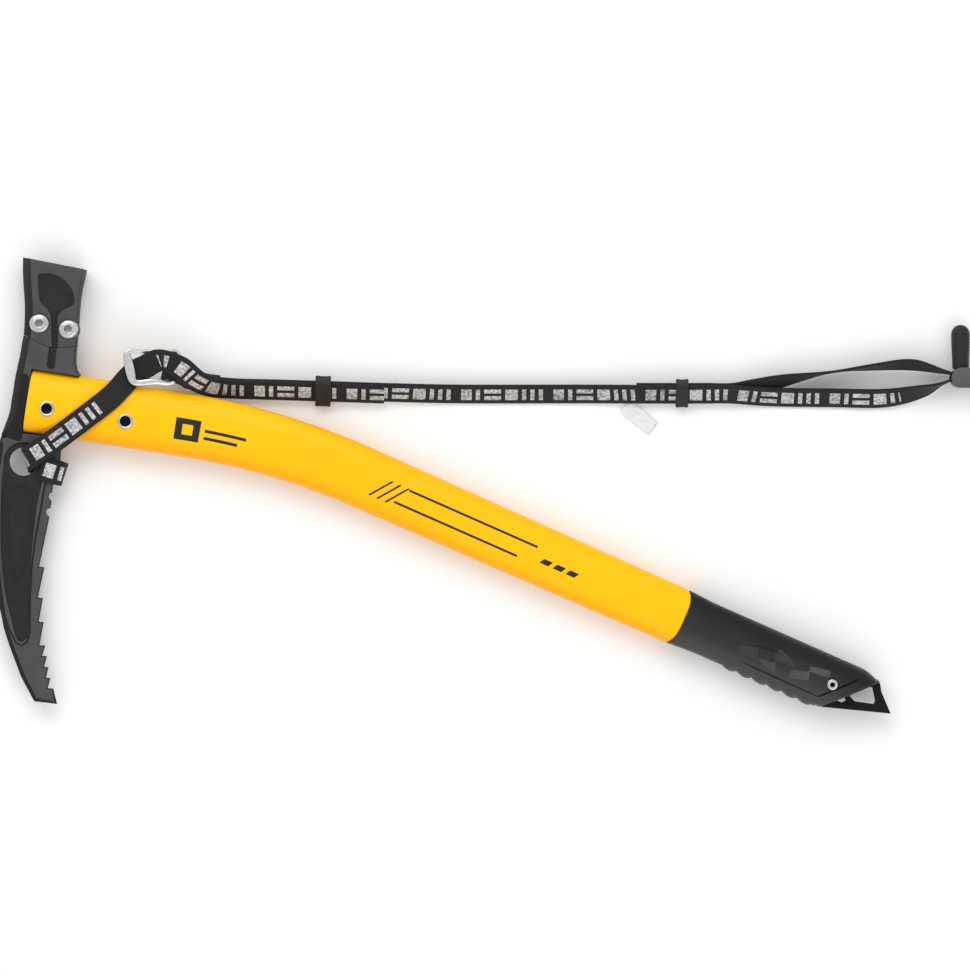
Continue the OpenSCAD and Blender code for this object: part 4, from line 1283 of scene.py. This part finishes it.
def toggle():
    pos = (271.8, 56.4)
    n = 20
    outline = [(5.2 * math.cos(q), 5.2 * math.sin(q)) for q in np.linspace(math.pi / 2, 3 * math.pi / 2, n)]
    outline += [(9, -5.2), (11.6, -4.9), (13, -3.6), (13, 3.6), (11.6, 4.9), (9, 5.2)]
    ob = prism("toggle_lock", outline, -7.4, 7.4, TOGGLE, pos, TOGGLE_Z)
    slot = [(-12, -2.2), (1, -2.2), (1, 3.4), (-12, 3.4)]
    boolean(ob, prism("slot", slot, -6.6, 6.6, FINGER, pos, TOGGLE_Z))
    hook = [(-0.4, 3.1), (4, 3.4), (3.6, -0.4), (4.2, -3.2), (1.2, -3.4), (1.4, 0.6)]
    cut_with(ob, prism("hook", hook, -12, 12, FINGER, pos, TOGGLE_Z))
    tidy(ob)
    round_edges(ob, 0.7, 3, 40)
    shade(ob, 35)
    finish_piece(ob, "axe", ["toggle_body"])
    stops = [(4.6, 3.6), (4.9, 4.25), (6, 4.3), (10, 4.45), (16, 4.75), (20, 4.9), (22.8, 4.9)]
    stops += [(22.8 + 4.9 * math.sin(a), 4.9 * math.cos(a)) for a in np.linspace(0.15, 1.5, 9)]
    rings = [[(pos[0] + x, pos[1] + y, TOGGLE_Z + z) for x, z in circle(r, 40)] for y, r in stops]
    tip = loft("toggle_finger_tip", rings, FINGER)
    shade(tip, 50)
    finish_piece(tip, "axe", ["toggle_finger"])


buckle()
RUN_ANGLE = math.atan2(RUN_B[1] - RUN_A[1], RUN_B[0] - RUN_A[0])
keeper("keeper_a", (-62, 49.4, 7.9), RUN_ANGLE, 8, 2, "keeper_buckle", "keeper_buckle")
keeper("keeper_b", (126, 48.3, 7.3), 0, 6.5, 1.4, "keeper_wrist", "keeper_wrist")
label()
toggle()

# ---- plain marks on the shaft

MARK = rubber_material("mark_ink", 0.012, 0.45, 600, 0.05)


def mark(name, u0, u1, v0, v1, lean=0.0, mats=None, lift=0.05):
    """A thin printed patch that follows the tube's top, from u0 to u1 along and v0 to v1 across it."""
    nu, nv = max(2, int(abs(u1 - u0) / 2) + 2), max(2, int(abs(v1 - v0) / 1.5) + 2)
    verts = []
    for z_in in (lift, -0.12):
        for i in range(nu):
            for j in range(nv):
                v = v0 + (v1 - v0) * j / (nv - 1)
                u = u0 + (u1 - u0) * i / (nu - 1) + lean * (v - v0)
                z = half_t(u) * (1 - abs(v / half_depth(u)) ** POWER) ** (1 / POWER)
                verts.append(in_shaft(u, v, z + z_in))
    layer = nu * nv
    faces = []
    for i in range(nu - 1):
        for j in range(nv - 1):
            a, b, c, d = i * nv + j, (i + 1) * nv + j, (i + 1) * nv + j + 1, i * nv + j + 1
            faces.append([a, b, c, d])
            faces.append([layer + d, layer + c, layer + b, layer + a])
    rim = [i * nv for i in range(nu)] + [(nu - 1) * nv + j for j in range(1, nv)]
    rim += [i * nv + nv - 1 for i in range(nu - 2, -1, -1)] + [j for j in range(nv - 2, 0, -1)]
    for k, a in enumerate(rim):
        b = rim[(k + 1) % len(rim)]
        faces.append([b, a, layer + a, layer + b])
    ob = new_piece(name, verts, faces, mats or MARK)
    shade(ob, 40)
    finish_piece(ob, "axe", ())


mark("mark_square", -53.4, -40.2, -8, 3.4)
mark("mark_dot", -49.6, -44, -5, 0.4, 0, PAINT, 0.09)
mark("mark_bar_a", -37.6, -15.4, -2.2, -0.6)
mark("mark_bar_b", -37.6, -19.4, -6, -4.4)
for i in range(3):
    mark("mark_slash_%d" % i, 55 + 4.6 * i, 56.2 + 4.6 * i, -7, 4.4, 0.75)
mark("mark_stripe_a", 74, 147, 3, 4.2)
mark("mark_stripe_b", 69, 139, -5.6, -4.4)
for i in range(3):
    mark("mark_block_%d" % i, 151 + 7.4 * i, 156 + 7.4 * i, -3.4, -0.6, 0.6)

# ---- light

area_light("key", (-0.35, 0.95, 1.25), (0, 0, 0), (1.3, 0.9), 9)
area_light("fill", (0.5, -0.9, 1.3), (0, 0, 0), (1.4, 1.0), 4)
world = bpy.data.worlds.new("world")
bpy.context.scene.world = world
world.use_nodes = True
sky = world.node_tree.nodes["Background"].inputs
sky["Color"].default_value = (1, 1, 1, 1)
sky["Strength"].default_value = 0.85
bpy.context.scene.view_settings.view_transform = "Standard"
